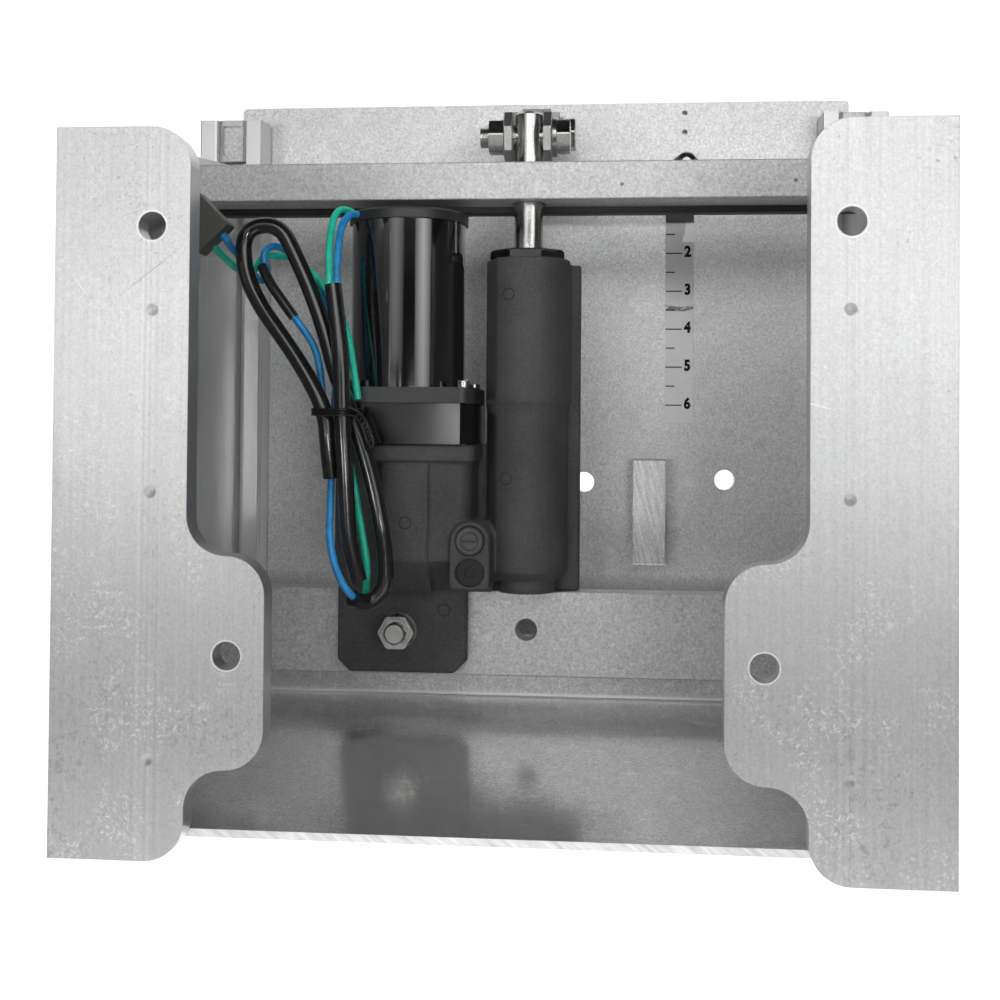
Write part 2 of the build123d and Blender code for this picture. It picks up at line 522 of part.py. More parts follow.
def col(r, z0, z1):
    f = column_face(r) + (Pos(CX + 1, CY + 11) * Rectangle(2 * r - 4, 22))
    return Pos(0, 0, z0) * extrude(f, amount=(z1 - z0))


housing = col(COL_R, -78.8, COL_TOP)
housing += loft([Pos(0, 0, -85.4) * Rot(0, 0, 0) * (Pos(CX, CY) * Circle(COL_LOW_R)), Pos(0, 0, -78.8) * (Pos(CX, CY) * Circle(COL_R - 0.3))]) & box(-60, 60, 150, 230, -85.4, -78.8)
housing += col(COL_LOW_R, -179.2, -78.8)
neck = Pos(CX + 0.5, CY, 0) * Cone(17.0, COL_LOW_R - 0.5, 5.0)
housing += Pos(0, 0, -181.7) * neck
housing += cyl_z(CX + 0.5, CY, LOW_BAR_Z1, -184.0, 17.0)
housing += box(CX - 16.0, CX + 17.0, CY, 209.0, LOW_BAR_Z1, -179.0)
# rear web
web = box(-24.0, 32.5, 196.0, 209.0, LOW_BAR_Z1, 4.8)
web = chamfer(web.edges().filter_by(Axis.Z).group_by(Axis.X)[-1], 1.0)
housing += web
# pump body under the motor
body = box(-88.0, -26.0, 146.5, 208.0, -113.5, PUMP_BOT)
body = fillet(body.edges().filter_by(Axis.Z), 6.0)
left_leg = box(-81.0, -52.6, 149.5, 208.0, -171.0, -113.4)
left_leg = fillet(left_leg.edges().filter_by(Axis.Z).group_by(Axis.Y)[0].sort_by(Axis.X)[:1], 5.0)
mid_leg = box(-53.6, -28.5, 152.0, 208.0, -171.0, -113.4)
mid_leg = fillet(mid_leg.edges().filter_by(Axis.Z).group_by(Axis.Y)[0].sort_by(Axis.X)[-1:], 8.0)
housing += body + left_leg + mid_leg
# reservoir side of the pump body, behind the wire bundle
side = prism_yz([(160.0, PUMP_BOT), (208.0, PUMP_BOT), (208.0, LOW_BAR_Z1), (181.0, LOW_BAR_Z1), (160.0, -172.0)], -109.0, -80.0,
                [(160.0, -172.0, 6.0)])
side -= box(-105.0, -90.5, 166.0, 202.0, -170.0, PUMP_BOT - 6.0)
housing += side
# lower taper to the bar
taper = prism_yz([(149.5, -171.0), (208.0, -171.0), (208.0, LOW_BAR_Z1), (170.0, LOW_BAR_Z1)], -77.5, -52.6)
housing += taper
taper2 = prism_yz([(152.0, -171.0), (208.0, -171.0), (208.0, LOW_BAR_Z1), (180.5, LOW_BAR_Z1), (174.0, -186.0)], -53.6, -18.0)
housing += taper2
housing += box(-30.0, 10.0, 190.0, 208.9, LOW_BAR_Z1, -103.7)
# foot plate in front of the lower bar
foot = box(-111.2, -33.4, 180.5, LOW_BAR_Y0, -240.2, -184.0)
foot = chamfer(foot.edges().filter_by(Axis.Y).group_by(Axis.Z)[0], 7.5)
foot = fillet(foot.edges().filter_by(Axis.Y).group_by(Axis.Z)[-1], 3.0)
housing += foot
housing += box(-80.0, -33.4, 180.5, 208.0, LOW_BAR_Z1, -180.0)
# valve boss
VX, VZ1, VZ2 = -28.0, -158.9, -177.2
boss_front = 147.5
boss = box(VX - 11.6, VX + 11.6, boss_front, 185.0, -187.0, VZ1)
boss = fillet(boss.edges().filter_by(Axis.Y).group_by(Axis.Z)[0], 3.0)
boss += cyl_y(VX, VZ1 - 0.4, boss_front, 185.0, 11.6)
housing += boss
# bores
housing -= cyl_z(CX, CY, BORE_BOT, COL_TOP + 1, BORE_R)
housing -= cyl_y(VX, VZ1, boss_front - 1, boss_front + 14, 8.15)
housing -= cyl_y(VX, VZ2, boss_front - 1, boss_front + 12, 8.15)
housing -= cyl_y(FOOT_BOLT[0], FOOT_BOLT[1], 170, LOW_BAR_Y0 + 1, 6.6)
housing = housing - box(-230, 230, LOW_BAR_Y0, 230, LOW_BAR_Z0 - 5, LOW_BAR_Z1)
# round moulding marks, 0.3 deep rings
for (mx, mz, my, r) in ((-65.8, -149.1, 149.5, 3.6), (-8.3, -15.8, None, 3.6), (-9.3, -123.7, None, 3.6), (-46.9, -202.5, 180.5, 3.7)):
    if my is None:
        rr = COL_R if mz > -78 else COL_LOW_R
        my = CY - math.sqrt(rr * rr - (mx - CX) ** 2)
        ring = cyl_y(mx, mz, my - 4, my + 0.9, r) - cyl_y(mx, mz, my - 5, my + 2, r - 0.5)
    else:
        ring = cyl_y(mx, mz, my - 4, my + 0.35, r) - cyl_y(mx, mz, my - 5, my + 2, r - 0.5)
    housing -= ring
HOLD = [(-95.4, 147.6), (-32.5, 150.5), (-95.4, 202.4), (-32.5, 202.4)]
# pockets for the four clamp screws
for (sx, sy) in HOLD:
    if sx > -88 + 2.6:
        housing -= cyl_z(sx, sy, PUMP_BOT - 8, PUMP_BOT + 1, 2.0)
# drive shaft end pocket
housing -= cyl_z(MX, MY, PUMP_BOT - 6, PUMP_BOT + 1, 5.05)
housing -= cyl_z(MX, MY + GEAR_DIST, PUMP_BOT - 6, PUMP_BOT + 1, 4.05)
save(housing, "actuator_housing")

# gland and wiper at the top of the column
gland = Pos(CX, CY, 0) * extrude(Rot(0, 0, 22.5) * RegularPolygon(22.0, 8, major_radius=False), amount=5.4)
gland = chamfer(gland.edges().group_by(Axis.Z)[-1], 1.6)
gland = Pos(0, 0, COL_TOP) * gland
gland += cyl_z(CX, CY, COL_TOP - 18, COL_TOP, BORE_R)
gland -= cyl_z(CX, CY, COL_TOP - 19, COL_TOP + 10, ROD_R + 0.06)
gland -= cyl_z(CX, CY, COL_TOP + 2.4, COL_TOP + 10, 11.5)
save(gland, "cylinder_gland")
wiper = cyl_z(CX, CY, COL_TOP + 2.4, COL_TOP + 6.4, 11.5) - cyl_z(CX, CY, COL_TOP, COL_TOP + 8, ROD_R + 0.05)
wiper = chamfer(wiper.edges().filter_by(GeomType.CIRCLE).group_by(Axis.Z)[-1].sort_by(SortBy.RADIUS)[-1], 1.0)
save(wiper, "rod_wiper")

# adapter flange and pump block
FL_PTS = [(-99.0, 141.5), (-26.2, 141.5), (-26.2, 208.0), (-99.0, 208.0)]
aflange = prism_xy(FL_PTS, FLANGE_BOT, CAN_BOT, [(-26.2, 141.5, 9.0), (-99.0, 141.5, 5.0), (-99.0, 208.0, 5.0), (-26.2, 208.0, 3.0)])
aflange -= cyl_z(MX, MY, FLANGE_BOT - 1, CAN_BOT + 1, 9.0)
PB_PTS = [(-99.0, 146.5), (-94.0, 142.5), (-33.5, 142.5), (-26.4, 150.0), (-26.4, 207.6), (-99.0, 207.6)]
pump = prism_xy(PB_PTS, PUMP_BOT, FLANGE_BOT)
pocket = cyl_z(MX, MY, PUMP_BOT + 5, FLANGE_BOT + 1, 11.4) + cyl_z(MX, MY + GEAR_DIST, PUMP_BOT + 5, FLANGE_BOT + 1, 11.4)
pump -= pocket
pump -= cyl_z(MX, MY, PUMP_BOT - 1, FLANGE_BOT + 1, 5.05)
pump -= cyl_z(MX, MY + GEAR_DIST, PUMP_BOT - 1, FLANGE_BOT + 1, 4.05)
for (sx, sy) in HOLD:
    aflange -= cyl_z(sx, sy, FLANGE_BOT - 1, CAN_BOT + 1, 2.0)
    zlow = PUMP_BOT - 1 if sx > -85 else PUMP_BOT + 4
    pump -= cyl_z(sx, sy, zlow, FLANGE_BOT + 1, 2.0)
save(aflange, "adapter_flange")
save(pump, "pump_block")


def hold_screw(x, y):
    zlow = PUMP_BOT - 8 if x > -85 else PUMP_BOT + 4
    h = cyl_z(x, y, CAN_BOT, CAN_BOT + 4.0, 3.5) - Pos(x, y, CAN_BOT + 2.0) * extrude(RegularPolygon(1.5, 6, major_radius=False), amount=3)
    return h + cyl_z(x, y, zlow, CAN_BOT, 2.0)


save([hold_screw(x, y) for (x, y) in HOLD], "housing_screws")

# motor
can = cyl_z(MX, MY, CAN_BOT, CAN_TOP, CAN_R) - cyl_z(MX, MY, CAN_BOT - 1, CAN_TOP + 1, CAN_R - CAN_T)
save(can, "motor_can")
cap = cyl_z(MX, MY, CAN_TOP, CAP_TOP, CAP_R) + cyl_z(MX, MY, CAN_TOP - 5, CAN_TOP, CAN_R - CAN_T)
cap = chamfer(cap.edges().filter_by(GeomType.CIRCLE).group_by(Axis.Z)[-1], 1.2)
cap -= cyl_z(MX, MY, CAN_TOP - 6, CAN_TOP + 2.0, 8.0)
cap -= tubes["motor_lead_green"]
cap -= tubes["motor_lead_blue"]
save(cap, "motor_cap")
bear = [cyl_z(MX, MY, CAN_TOP - 4.0, CAN_TOP + 2.0, 8.0) - cyl_z(MX, MY, CAN_TOP - 5, CAN_TOP + 3, 4.05),
        cyl_z(MX, MY, FLANGE_BOT, CAN_BOT, 9.0) - cyl_z(MX, MY, FLANGE_BOT - 1, CAN_BOT + 1, 5.05)]
save(bear, "motor_bearings")
mag = cyl_z(MX, MY, -52, 8, CAN_R - CAN_T) - cyl_z(MX, MY, -53, 9, CAN_R - CAN_T - 5.5)
mag -= box(MX - 9, MX + 9, MY - 40, MY + 40, -60, 20)
save(list(mag.solids()), "motor_magnets")
core = cyl_z(MX, MY, -48, 4, 24.0) - cyl_z(MX, MY, -49, 5, 5.0)
for k in range(12):
    a = math.radians(30 * k + 15)
    core -= Pos(MX + 22.5 * math.cos(a), MY + 22.5 * math.sin(a), -22) * Rot(0, 0, 30 * k + 15) * Box(7, 2.4, 60)
save(core, "armature_core")
shaft = cyl_z(MX, MY, PUMP_BOT - 5, 10, 5.0) + cyl_z(MX, MY, 10, CAN_TOP + 1.5, 4.0)
save(shaft, "motor_shaft")


def gear(z0, z1, bore, turn):
    m = 1.5
    rp = GEAR_TEETH * m / 2
    ro, rr = rp + 1.35, rp - 1.65
    pitch = 360.0 / GEAR_TEETH
    pts = []
    for k in range(GEAR_TEETH):
        for (fr, r) in ((-0.37, rr), (-0.215, rp), (-0.10, ro), (0.10, ro), (0.215, rp), (0.37, rr)):
            a = math.radians(turn + (k + fr) * pitch)
            pts.append((r * math.cos(a), r * math.sin(a)))
    g = extrude(make_face(Polyline(*pts, close=True)), amount=(z1 - z0))
    g = Pos(0, 0, z0) * g
    if bore > 0:
        g -= cyl_z(0, 0, z0 - 1, z1 + 1, bore)
    return g


GZ0, GZ1 = PUMP_BOT + 5.3, FLANGE_BOT - 0.3
save(Pos(MX, MY, 0) * gear(GZ0, GZ1, 5.0, 90.0), "drive_gear")
idler = gear(GZ0, GZ1, 0, 270.0 + 15.0) + cyl_z(0, 0, PUMP_BOT - 5, GZ0, 4.0)
save(Pos(MX, MY + GEAR_DIST, 0) * idler, "idler_gear")

# valve plugs
fill = cyl_y(VX, VZ2, boss_front + 3.0, boss_front + 12, 8.15)
fill -= cyl_y(VX, VZ2, boss_front + 2, boss_front + 3.8, 3.0)
save(fill, "fill_plug")
valve = cyl_y(VX, VZ1, boss_front - 1.6, boss_front + 13.8, 8.1)
valve = chamfer(valve.edges().filter_by(GeomType.CIRCLE).group_by(Axis.Y)[0], 0.8)
valve -= cyl_y(VX, VZ1, boss_front - 3, boss_front - 1.0, 5.4) - cyl_y(VX, VZ1, boss_front - 3, boss_front - 1.0, 4.6)
valve -= box(VX - 4.2, VX + 4.2, boss_front - 3, boss_front - 0.4, VZ1 - 0.6, VZ1 + 0.6)
save(valve, "release_valve")

# foot bolt and flange nut
fb = cyl_y(FOOT_BOLT[0], FOOT_BOLT[1], 163.0, LOW_BAR_Y1, 6.3)
fb = chamfer(fb.edges().filter_by(GeomType.CIRCLE).group_by(Axis.Y)[0], 1.0)
fb += hex_y(FOOT_BOLT[0], FOOT_BOLT[1], LOW_BAR_Y1, LOW_BAR_Y1 + 7.5, 19.0) & cyl_y(FOOT_BOLT[0], FOOT_BOLT[1], LOW_BAR_Y1, LOW_BAR_Y1 + 7.5, 10.7)
save(fb, "foot_bolt")
nut = cyl_y(FOOT_BOLT[0], FOOT_BOLT[1], 178.3, 180.5, 10.7)
nut += cone_y(FOOT_BOLT[0], FOOT_BOLT[1], 176.0, 178.3, 8.6, 10.5)
nut += hex_y(FOOT_BOLT[0], FOOT_BOLT[1], 168.5, 178.0, 19.0) & cyl_y(FOOT_BOLT[0], FOOT_BOLT[1], 168.5, 178.0, 10.5)
nut += cyl_y(FOOT_BOLT[0], FOOT_BOLT[1], 166.3, 168.5, 8.3)
nut -= cyl_y(FOOT_BOLT[0], FOOT_BOLT[1], 160.0, 182.0, 6.3)
save(nut, "flange_nut")

# cable tie round the bundle
TIE_Z0, TIE_Z1 = -87.5, -83.4
circles = [(-93.8, 133.8, 5.2), (-95.8, 134.2, 5.2), (-97.7, 124.1, 4.9), (-109.5, 129.9, 5.4), (-108.0, 129.5, 5.2),
           (-111.2, 138.8, 2.4), (-105.6, 139.9, 2.3)]


def hull(points):
    points = sorted(set(points))
    def half(seq):
        h = []
        for p in seq:
            while len(h) > 1 and (h[-1][0] - h[-2][0]) * (p[1] - h[-2][1]) - (h[-1][1] - h[-2][1]) * (p[0] - h[-2][0]) <= 0:
                h.pop()
            h.append(p)
        return h
    a, b = half(points), half(points[::-1])
    return a[:-1] + b[:-1]


def ring_pts(extra):
    pts = []
    for (x, y, r) in circles:
        for k in range(24):
            t = 2 * math.pi * k / 24
            pts.append((round(x + (r + extra) * math.cos(t), 4), round(y + (r + extra) * math.sin(t), 4)))
    return hull(pts)


tie = prism_xy(ring_pts(1.7), TIE_Z0, TIE_Z1) - prism_xy(ring_pts(0.35), TIE_Z0 - 1, TIE_Z1 + 1)
save(tie, "cable_tie")

# wire connector: rectangular block, turned 45 degrees, wedged in the corner
conn = Box(24.0, 15.0, 27.0)
conn = fillet(conn.edges().filter_by(Axis.Y), 1.5)
conn -= Pos(0, 0, 13.5) * Box(18.0, 9.0, 8.0)
conn = Pos(-178.6, 119.0, 19.6) * Rot(0, -44.0, 0) * conn
conn -= tubes["wire_green_long"]
conn -= tubes["wire_blue_long"]
save(conn, "connector")
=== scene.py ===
import bpy, bmesh, math
from mathutils import Vector, Matrix, Euler, noise


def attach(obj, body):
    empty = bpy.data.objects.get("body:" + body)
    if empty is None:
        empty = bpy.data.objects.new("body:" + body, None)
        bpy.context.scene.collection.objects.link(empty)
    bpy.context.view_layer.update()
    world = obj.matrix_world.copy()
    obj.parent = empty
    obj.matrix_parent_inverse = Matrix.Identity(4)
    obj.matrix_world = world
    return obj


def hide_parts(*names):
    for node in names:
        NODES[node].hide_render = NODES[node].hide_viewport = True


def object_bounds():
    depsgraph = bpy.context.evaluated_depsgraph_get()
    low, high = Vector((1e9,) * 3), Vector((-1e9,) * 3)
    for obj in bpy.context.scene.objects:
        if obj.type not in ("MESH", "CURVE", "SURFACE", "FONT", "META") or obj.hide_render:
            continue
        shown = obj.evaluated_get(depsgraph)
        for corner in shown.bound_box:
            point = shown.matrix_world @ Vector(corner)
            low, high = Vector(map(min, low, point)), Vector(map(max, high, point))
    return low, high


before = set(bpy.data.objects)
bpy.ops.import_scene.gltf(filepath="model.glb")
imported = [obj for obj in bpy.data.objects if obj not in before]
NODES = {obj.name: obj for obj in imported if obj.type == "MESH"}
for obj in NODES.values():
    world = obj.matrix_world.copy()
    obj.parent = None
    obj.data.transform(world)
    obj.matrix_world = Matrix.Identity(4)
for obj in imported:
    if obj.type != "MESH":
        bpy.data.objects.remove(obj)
cad_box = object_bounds()
S = bpy.context.scene
MM = 0.001


# ------------------------------------------------------------------ camera
cam_data = bpy.data.cameras.new("camera")
cam_data.sensor_width = 36.0
cam_data.lens = 49.68
cam_data.shift_x = -0.0078
cam_data.shift_y = -0.0900
cam_data.clip_start = 0.01
cam_data.clip_end = 50.0
cam = bpy.data.objects.new("camera", cam_data)
S.collection.objects.link(cam)


def rot(axis, deg):
    return Matrix.Rotation(math.radians(deg), 3, axis)


BASE = Matrix(((1, 0, 0), (0, 0, -1), (0, 1, 0)))
VIEW = rot('Z', 0.344) @ rot('Y', 5.346) @ rot('X', -1.119) @ BASE
right, down, ahead = VIEW[0], VIEW[1], VIEW[2]
cam.matrix_world = Matrix(((right[0], -down[0], -ahead[0], 0.0667),
                           (right[1], -down[1], -ahead[1], -0.6361),
                           (right[2], -down[2], -ahead[2], -0.0991),
                           (0, 0, 0, 1)))
S.camera = cam

# ------------------------------------------------------------------ cords (same route points as the solids)
W = 2.1
ROUTES = {
    "sleeve_loop": (4.75, [(-89.8, 121.5, -189.3), (-84.3, 131.0, -194.8), (-72.9, 132.0, -184.1), (-74.0, 132.0, -164.4), (-76.8, 131.0, -145.9),
                           (-83.6, 132.0, -116.7), (-93.7, 133.8, -88.0), (-103.8, 135.5, -64.7), (-110.7, 137.0, -40.1),
                           (-119.5, 138.5, -16.5), (-128.1, 139.5, 2.0), (-138.7, 140.0, 22.9), (-159.6, 139.0, 19.7),
                           (-158.7, 138.0, -4.4), (-149.1, 137.0, -24.7), (-134.0, 135.0, -44.3), (-120.4, 132.5, -63.8),
                           (-108.3, 129.5, -85.3), (-106.6, 129.5, -106.2), (-104.8, 131.0, -123.1)]),
    "sleeve_centre": (4.75, [(-105.0, 131.0, -13.9), (-101.3, 128.0, -36.9), (-98.5, 125.5, -62.3), (-97.6, 124.0, -89.3),
                             (-95.6, 124.0, -116.1), (-94.3, 124.5, -141.8), (-92.8, 125.0, -161.9), (-87.6, 127.0, -180.4)]),
    "motor_lead_green": (W, [(-96.5, 162.0, 29.2), (-103.2, 153.5, 34.2), (-107.8, 144.0, 28.5), (-108.4, 137.0, 13.6),
                             (-108.2, 133.0, -0.6), (-107.1, 130.9, -14.6)]),
    "motor_lead_blue": (W, [(-92.0, 156.0, 28.9), (-98.0, 148.5, 30.4), (-102.8, 143.0, 23.1), (-103.4, 137.0, 10.7),
                            (-103.3, 133.5, -2.3), (-102.8, 130.9, -14.9)]),
    "wire_green_long": (W, [(-173.3, 124.0, 8.7), (-172.6, 135.0, 5.6), (-170.0, 148.0, 1.0), (-166.4, 156.0, -2.8), (-161.2, 159.0, -4.8),
                            (-157.6, 160.0, -0.5), (-154.8, 159.5, 4.7), (-149.7, 158.5, 6.9), (-142.7, 155.2, 5.4), (-133.3, 153.0, 5.0),
                            (-122.6, 151.0, -3.5), (-112.6, 149.0, -14.8), (-103.5, 146.0, -28.5), (-97.5, 142.5, -45.4), (-94.2, 139.2, -62.7),
                            (-91.4, 137.9, -78.6)]),
    "wire_blue_long": (W, [(-164.3, 120.0, 11.5), (-166.5, 132.0, 10.4), (-166.2, 141.0, 8.2), (-164.2, 148.5, 4.5), (-160.3, 151.5, -1.0),
                           (-156.2, 152.0, -6.8), (-150.8, 152.0, -9.7), (-148.0, 151.5, -4.5), (-150.5, 150.5, 1.8), (-150.7, 151.0, 7.7),
                           (-147.2, 153.5, 11.5), (-142.0, 156.5, 11.3), (-132.9, 160.3, 5.4), (-123.4, 157.0, -5.1), (-115.8, 153.0, -18.5),
                           (-110.3, 150.0, -32.7), (-107.1, 147.0, -50.2), (-105.4, 142.5, -69.2), (-105.6, 139.8, -86.0)]),
    "sleeve_thin": (3.0, [(-149.8, 144.0, -1.4), (-145.5, 141.5, -9.8), (-139.0, 139.5, -18.7), (-129.3, 138.7, -31.6)]),
    "wire_blue_inner": (W, [(-133.4, 139.0, -26.1), (-124.8, 139.5, -37.1), (-116.8, 141.0, -49.0),
                            (-113.2, 141.0, -68.0), (-111.1, 138.6, -86.0)]),
    "wire_blue_bottom": (W, [(-104.8, 131.0, -122.3), (-104.6, 128.5, -137.7), (-104.5, 125.0, -153.2),
                             (-101.2, 121.0, -169.0), (-96.0, 118.5, -180.3), (-90.3, 121.0, -188.7), (-87.4, 126.5, -192.1)]),
    "wire_green_bottom": (W, [(-100.1, 136.0, -92.6), (-97.4, 137.5, -108.5), (-93.5, 137.5, -124.9),
                              (-89.9, 136.5, -143.5), (-86.5, 136.0, -162.1), (-84.4, 136.5, -178.5), (-87.1, 141.0, -193.8)]),
}
cords = {}
for name, (r, pts) in ROUTES.items():
    cu = bpy.data.curves.new(name + "_cord", "CURVE")
    cu.dimensions = "3D"
    sp = cu.splines.new("NURBS")
    sp.points.add(len(pts) - 1)
    for p, q in zip(sp.points, pts):
        p.co = (q[0] * MM, q[1] * MM, q[2] * MM, 1.0)
        p.radius = r * MM
    sp.order_u = 3
    sp.use_endpoint_u = True
    sp.resolution_u = 10
    cu.bevel_depth = 1.0
    cu.bevel_resolution = 6
    cu.use_fill_caps = True
    ob = bpy.data.objects.new(name + "_cord", cu)
    S.collection.objects.link(ob)
    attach(ob, "mount_frame")
    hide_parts(name)
    cords[name] = ob

# ------------------------------------------------------------------ material helpers


class Mat:
    def __init__(self, name, bevel=0.0005):
        self.m = bpy.data.materials.new(name)
        self.m.use_nodes = True
        self.t = self.m.node_tree
        self.n = self.t.nodes
        self.l = self.t.links
        self.b = self.n["Principled BSDF"]
        self.co = self.n.new("ShaderNodeTexCoord").outputs["Object"]
        self.normal = None
        if bevel:
            bv = self.n.new("ShaderNodeBevel")
            bv.samples = 4
            bv.inputs["Radius"].default_value = bevel
            self.normal = bv.outputs["Normal"]

    def set(self, **kw):
        for k, v in kw.items():
            self.b.inputs[k.replace("_", " ")].default_value = v
        return self

    def mapping(self, scale=(1, 1, 1), rotation=(0, 0, 0), loc=(0, 0, 0)):
        mp = self.n.new("ShaderNodeMapping")
        mp.inputs["Scale"].default_value = scale
        mp.inputs["Rotation"].default_value = rotation
        mp.inputs["Location"].default_value = loc
        self.l.new(self.co, mp.inputs["Vector"])
        return mp.outputs["Vector"]

    def noise(self, scale, detail=3.0, rough=0.55, vec=None, distortion=0.0):
        x = self.n.new("ShaderNodeTexNoise")
        x.inputs["Scale"].default_value = scale
        x.inputs["Detail"].default_value = detail
        x.inputs["Roughness"].default_value = rough
        x.inputs["Distortion"].default_value = distortion
        self.l.new(vec if vec is not None else self.co, x.inputs["Vector"])
        return x.outputs["Fac"]

    def voronoi(self, scale, feature="F1", vec=None, out="Distance"):
        x = self.n.new("ShaderNodeTexVoronoi")
        x.feature = feature
        x.inputs["Scale"].default_value = scale
        self.l.new(vec if vec is not None else self.co, x.inputs["Vector"])
        return x.outputs[out]

    def ramp(self, fac, stops, interp="LINEAR"):
        r = self.n.new("ShaderNodeValToRGB")
        r.color_ramp.interpolation = interp
        els = r.color_ramp.elements
        while len(els) < len(stops):
            els.new(0.5)
        for e, (p, c) in zip(els, stops):
            e.position = p
            e.color = (c, c, c, 1) if isinstance(c, (int, float)) else tuple(c) + (1,)
        self.l.new(fac, r.inputs["Fac"])
        return r.outputs["Color"]

    def mrange(self, fac, a, b, c, d):
        r = self.n.new("ShaderNodeMapRange")
        for k, v in zip(("From Min", "From Max", "To Min", "To Max"), (a, b, c, d)):
            r.inputs[k].default_value = v
        self.l.new(fac, r.inputs["Value"])
        return r.outputs["Result"]

    def math(self, op, a, b=None, clamp=False):
        m = self.n.new("ShaderNodeMath")
        m.operation = op
        m.use_clamp = clamp
        for i, v in enumerate((a, b)):
            if v is None:
                continue
            if isinstance(v, (int, float)):
                m.inputs[i].default_value = v
            else:
                self.l.new(v, m.inputs[i])
        return m.outputs[0]

    def mix(self, fac, a, b, mode="MIX"):
        m = self.n.new("ShaderNodeMix")
        m.data_type = "RGBA"
        m.blend_type = mode
        if isinstance(fac, (int, float)):
            m.inputs[0].default_value = fac
        else:
            self.l.new(fac, m.inputs[0])
        for i, v in ((6, a), (7, b)):
            if isinstance(v, tuple):
                m.inputs[i].default_value = v + (1,)
            else:
                self.l.new(v, m.inputs[i])
        return m.outputs[2]

    def turned(self, angles, scale):
        """Object coordinates turned first and stretched after."""
        r = self.n.new("ShaderNodeMapping")
        r.inputs["Rotation"].default_value = [math.radians(a) for a in angles]
        self.l.new(self.co, r.inputs["Vector"])
        m = self.n.new("ShaderNodeMapping")
        m.inputs["Scale"].default_value = scale
        self.l.new(r.outputs["Vector"], m.inputs["Vector"])
        return m.outputs["Vector"]

    def add(self, total, fac, amp, mid=0.5):
        """total + amp * (fac - mid)"""
        x = self.math("MULTIPLY", self.math("SUBTRACT", fac, mid), amp)
        return self.math("ADD", total, x) if total is not None else x

    def facing(self, axis, lo=0.55, hi=0.8, signed=False):
        """1 where the surface looks along an object axis."""
        tc = self.n.new("ShaderNodeTexCoord")
        v = self.sep(tc.outputs["Normal"])[axis]
        if not signed:
            v = self.math("ABSOLUTE", v)
        return self.mrange(v, lo, hi, 0.0, 1.0)

    def hair(self, scale, seed=0.0, width=0.06, cover=0.5):
        """Fine curved hairlines: level lines of a warped noise, in patches."""
        v = self.mapping((1, 1, 1), (0, 0, 0), (seed, seed * 0.7, seed * 1.3))
        f = self.noise(scale, 2.0, 0.5, v, 2.4)
        h = self.ramp(f, [(0.5 - width * 2, 0.0), (0.5 - width * 0.3, 1.0), (0.5 + width * 0.3, 1.0), (0.5 + width * 2, 0.0)])
        k = self.ramp(self.noise(scale * 0.22, 2.0, 0.5, v), [(0.5 - (cover - 0.5) * 0.5, 0.0), (0.62 - (cover - 0.5) * 0.5, 1.0)])
        return self.math("MULTIPLY", h, k)

    def scratch(self, angle, thr=0.70, length=11.0, fine=520.0, plane="Y"):
        """Sparse straight scratches at an angle in the XZ plane."""
        rot3 = (0, angle, 0) if plane == "Y" else (0, 0, angle)
        v = self.turned(rot3, (fine, fine, length) if plane == "Y" else (length, fine, fine))
        return self.ramp(self.noise(1.0, 2.0, 0.5, v), [(thr, 0.0), (thr + 0.035, 1.0)])

    def sep(self, vec=None):
        s = self.n.new("ShaderNodeSeparateXYZ")
        self.l.new(vec if vec is not None else self.co, s.inputs[0])
        return s.outputs

    def color(self, out):
        self.l.new(out, self.b.inputs["Base Color"])
        return self

    def rough(self, out):
        self.l.new(out, self.b.inputs["Roughness"])
        return self

    def bump(self, height, strength=0.2, distance=0.0003):
        bp = self.n.new("ShaderNodeBump")
        bp.inputs["Strength"].default_value = strength
        bp.inputs["Distance"].default_value = distance
        self.l.new(height, bp.inputs["Height"])
        if self.normal is not None:
            self.l.new(self.normal, bp.inputs["Normal"])
        self.normal = bp.outputs["Normal"]
        return self

    def done(self):
        if self.normal is not None:
            self.l.new(self.normal, self.b.inputs["Normal"])
        return self.m


def brushed(name, base, metal, rough, streak=0.05, cloud=0.04, vertical=True, bevel=0.0006):
    """Brushed aluminium: fine lines along Z, soft clouding, darker line grain in the roughness."""
    m = Mat(name, bevel)
    v = m.mapping((900, 900, 7)) if vertical else m.mapping((7, 900, 900))
    n1 = m.noise(1.0, 4.0, 0.6, v)
    v2 = m.mapping((160, 160, 2.2)) if vertical else m.mapping((2.2, 160, 160))
    n2 = m.noise(1.0, 3.0, 0.6, v2)
    n3 = m.noise(9.0, 3.0, 0.5)
    lines = m.math("ADD", m.math("MULTIPLY", n1, 0.6), m.math("MULTIPLY", n2, 0.4))
    fac = m.math("ADD", m.math("MULTIPLY", m.math("SUBTRACT", lines, 0.5), streak * 6), m.math("MULTIPLY", m.math("SUBTRACT", n3, 0.5), cloud * 4))
    fac = m.math("ADD", fac, 0.5, True)
    lo = tuple(max(0, c * (1 - 0.16)) for c in base)
    hi = tuple(min(1, c * 1.10) for c in base)
    m.color(m.mix(fac, lo, hi))
    m.rough(m.mrange(lines, 0.35, 0.65, rough - 0.06, rough + 0.08))
    m.set(Metallic=metal)
    m.bump(lines, 0.10, 0.00012)
    return m.done()


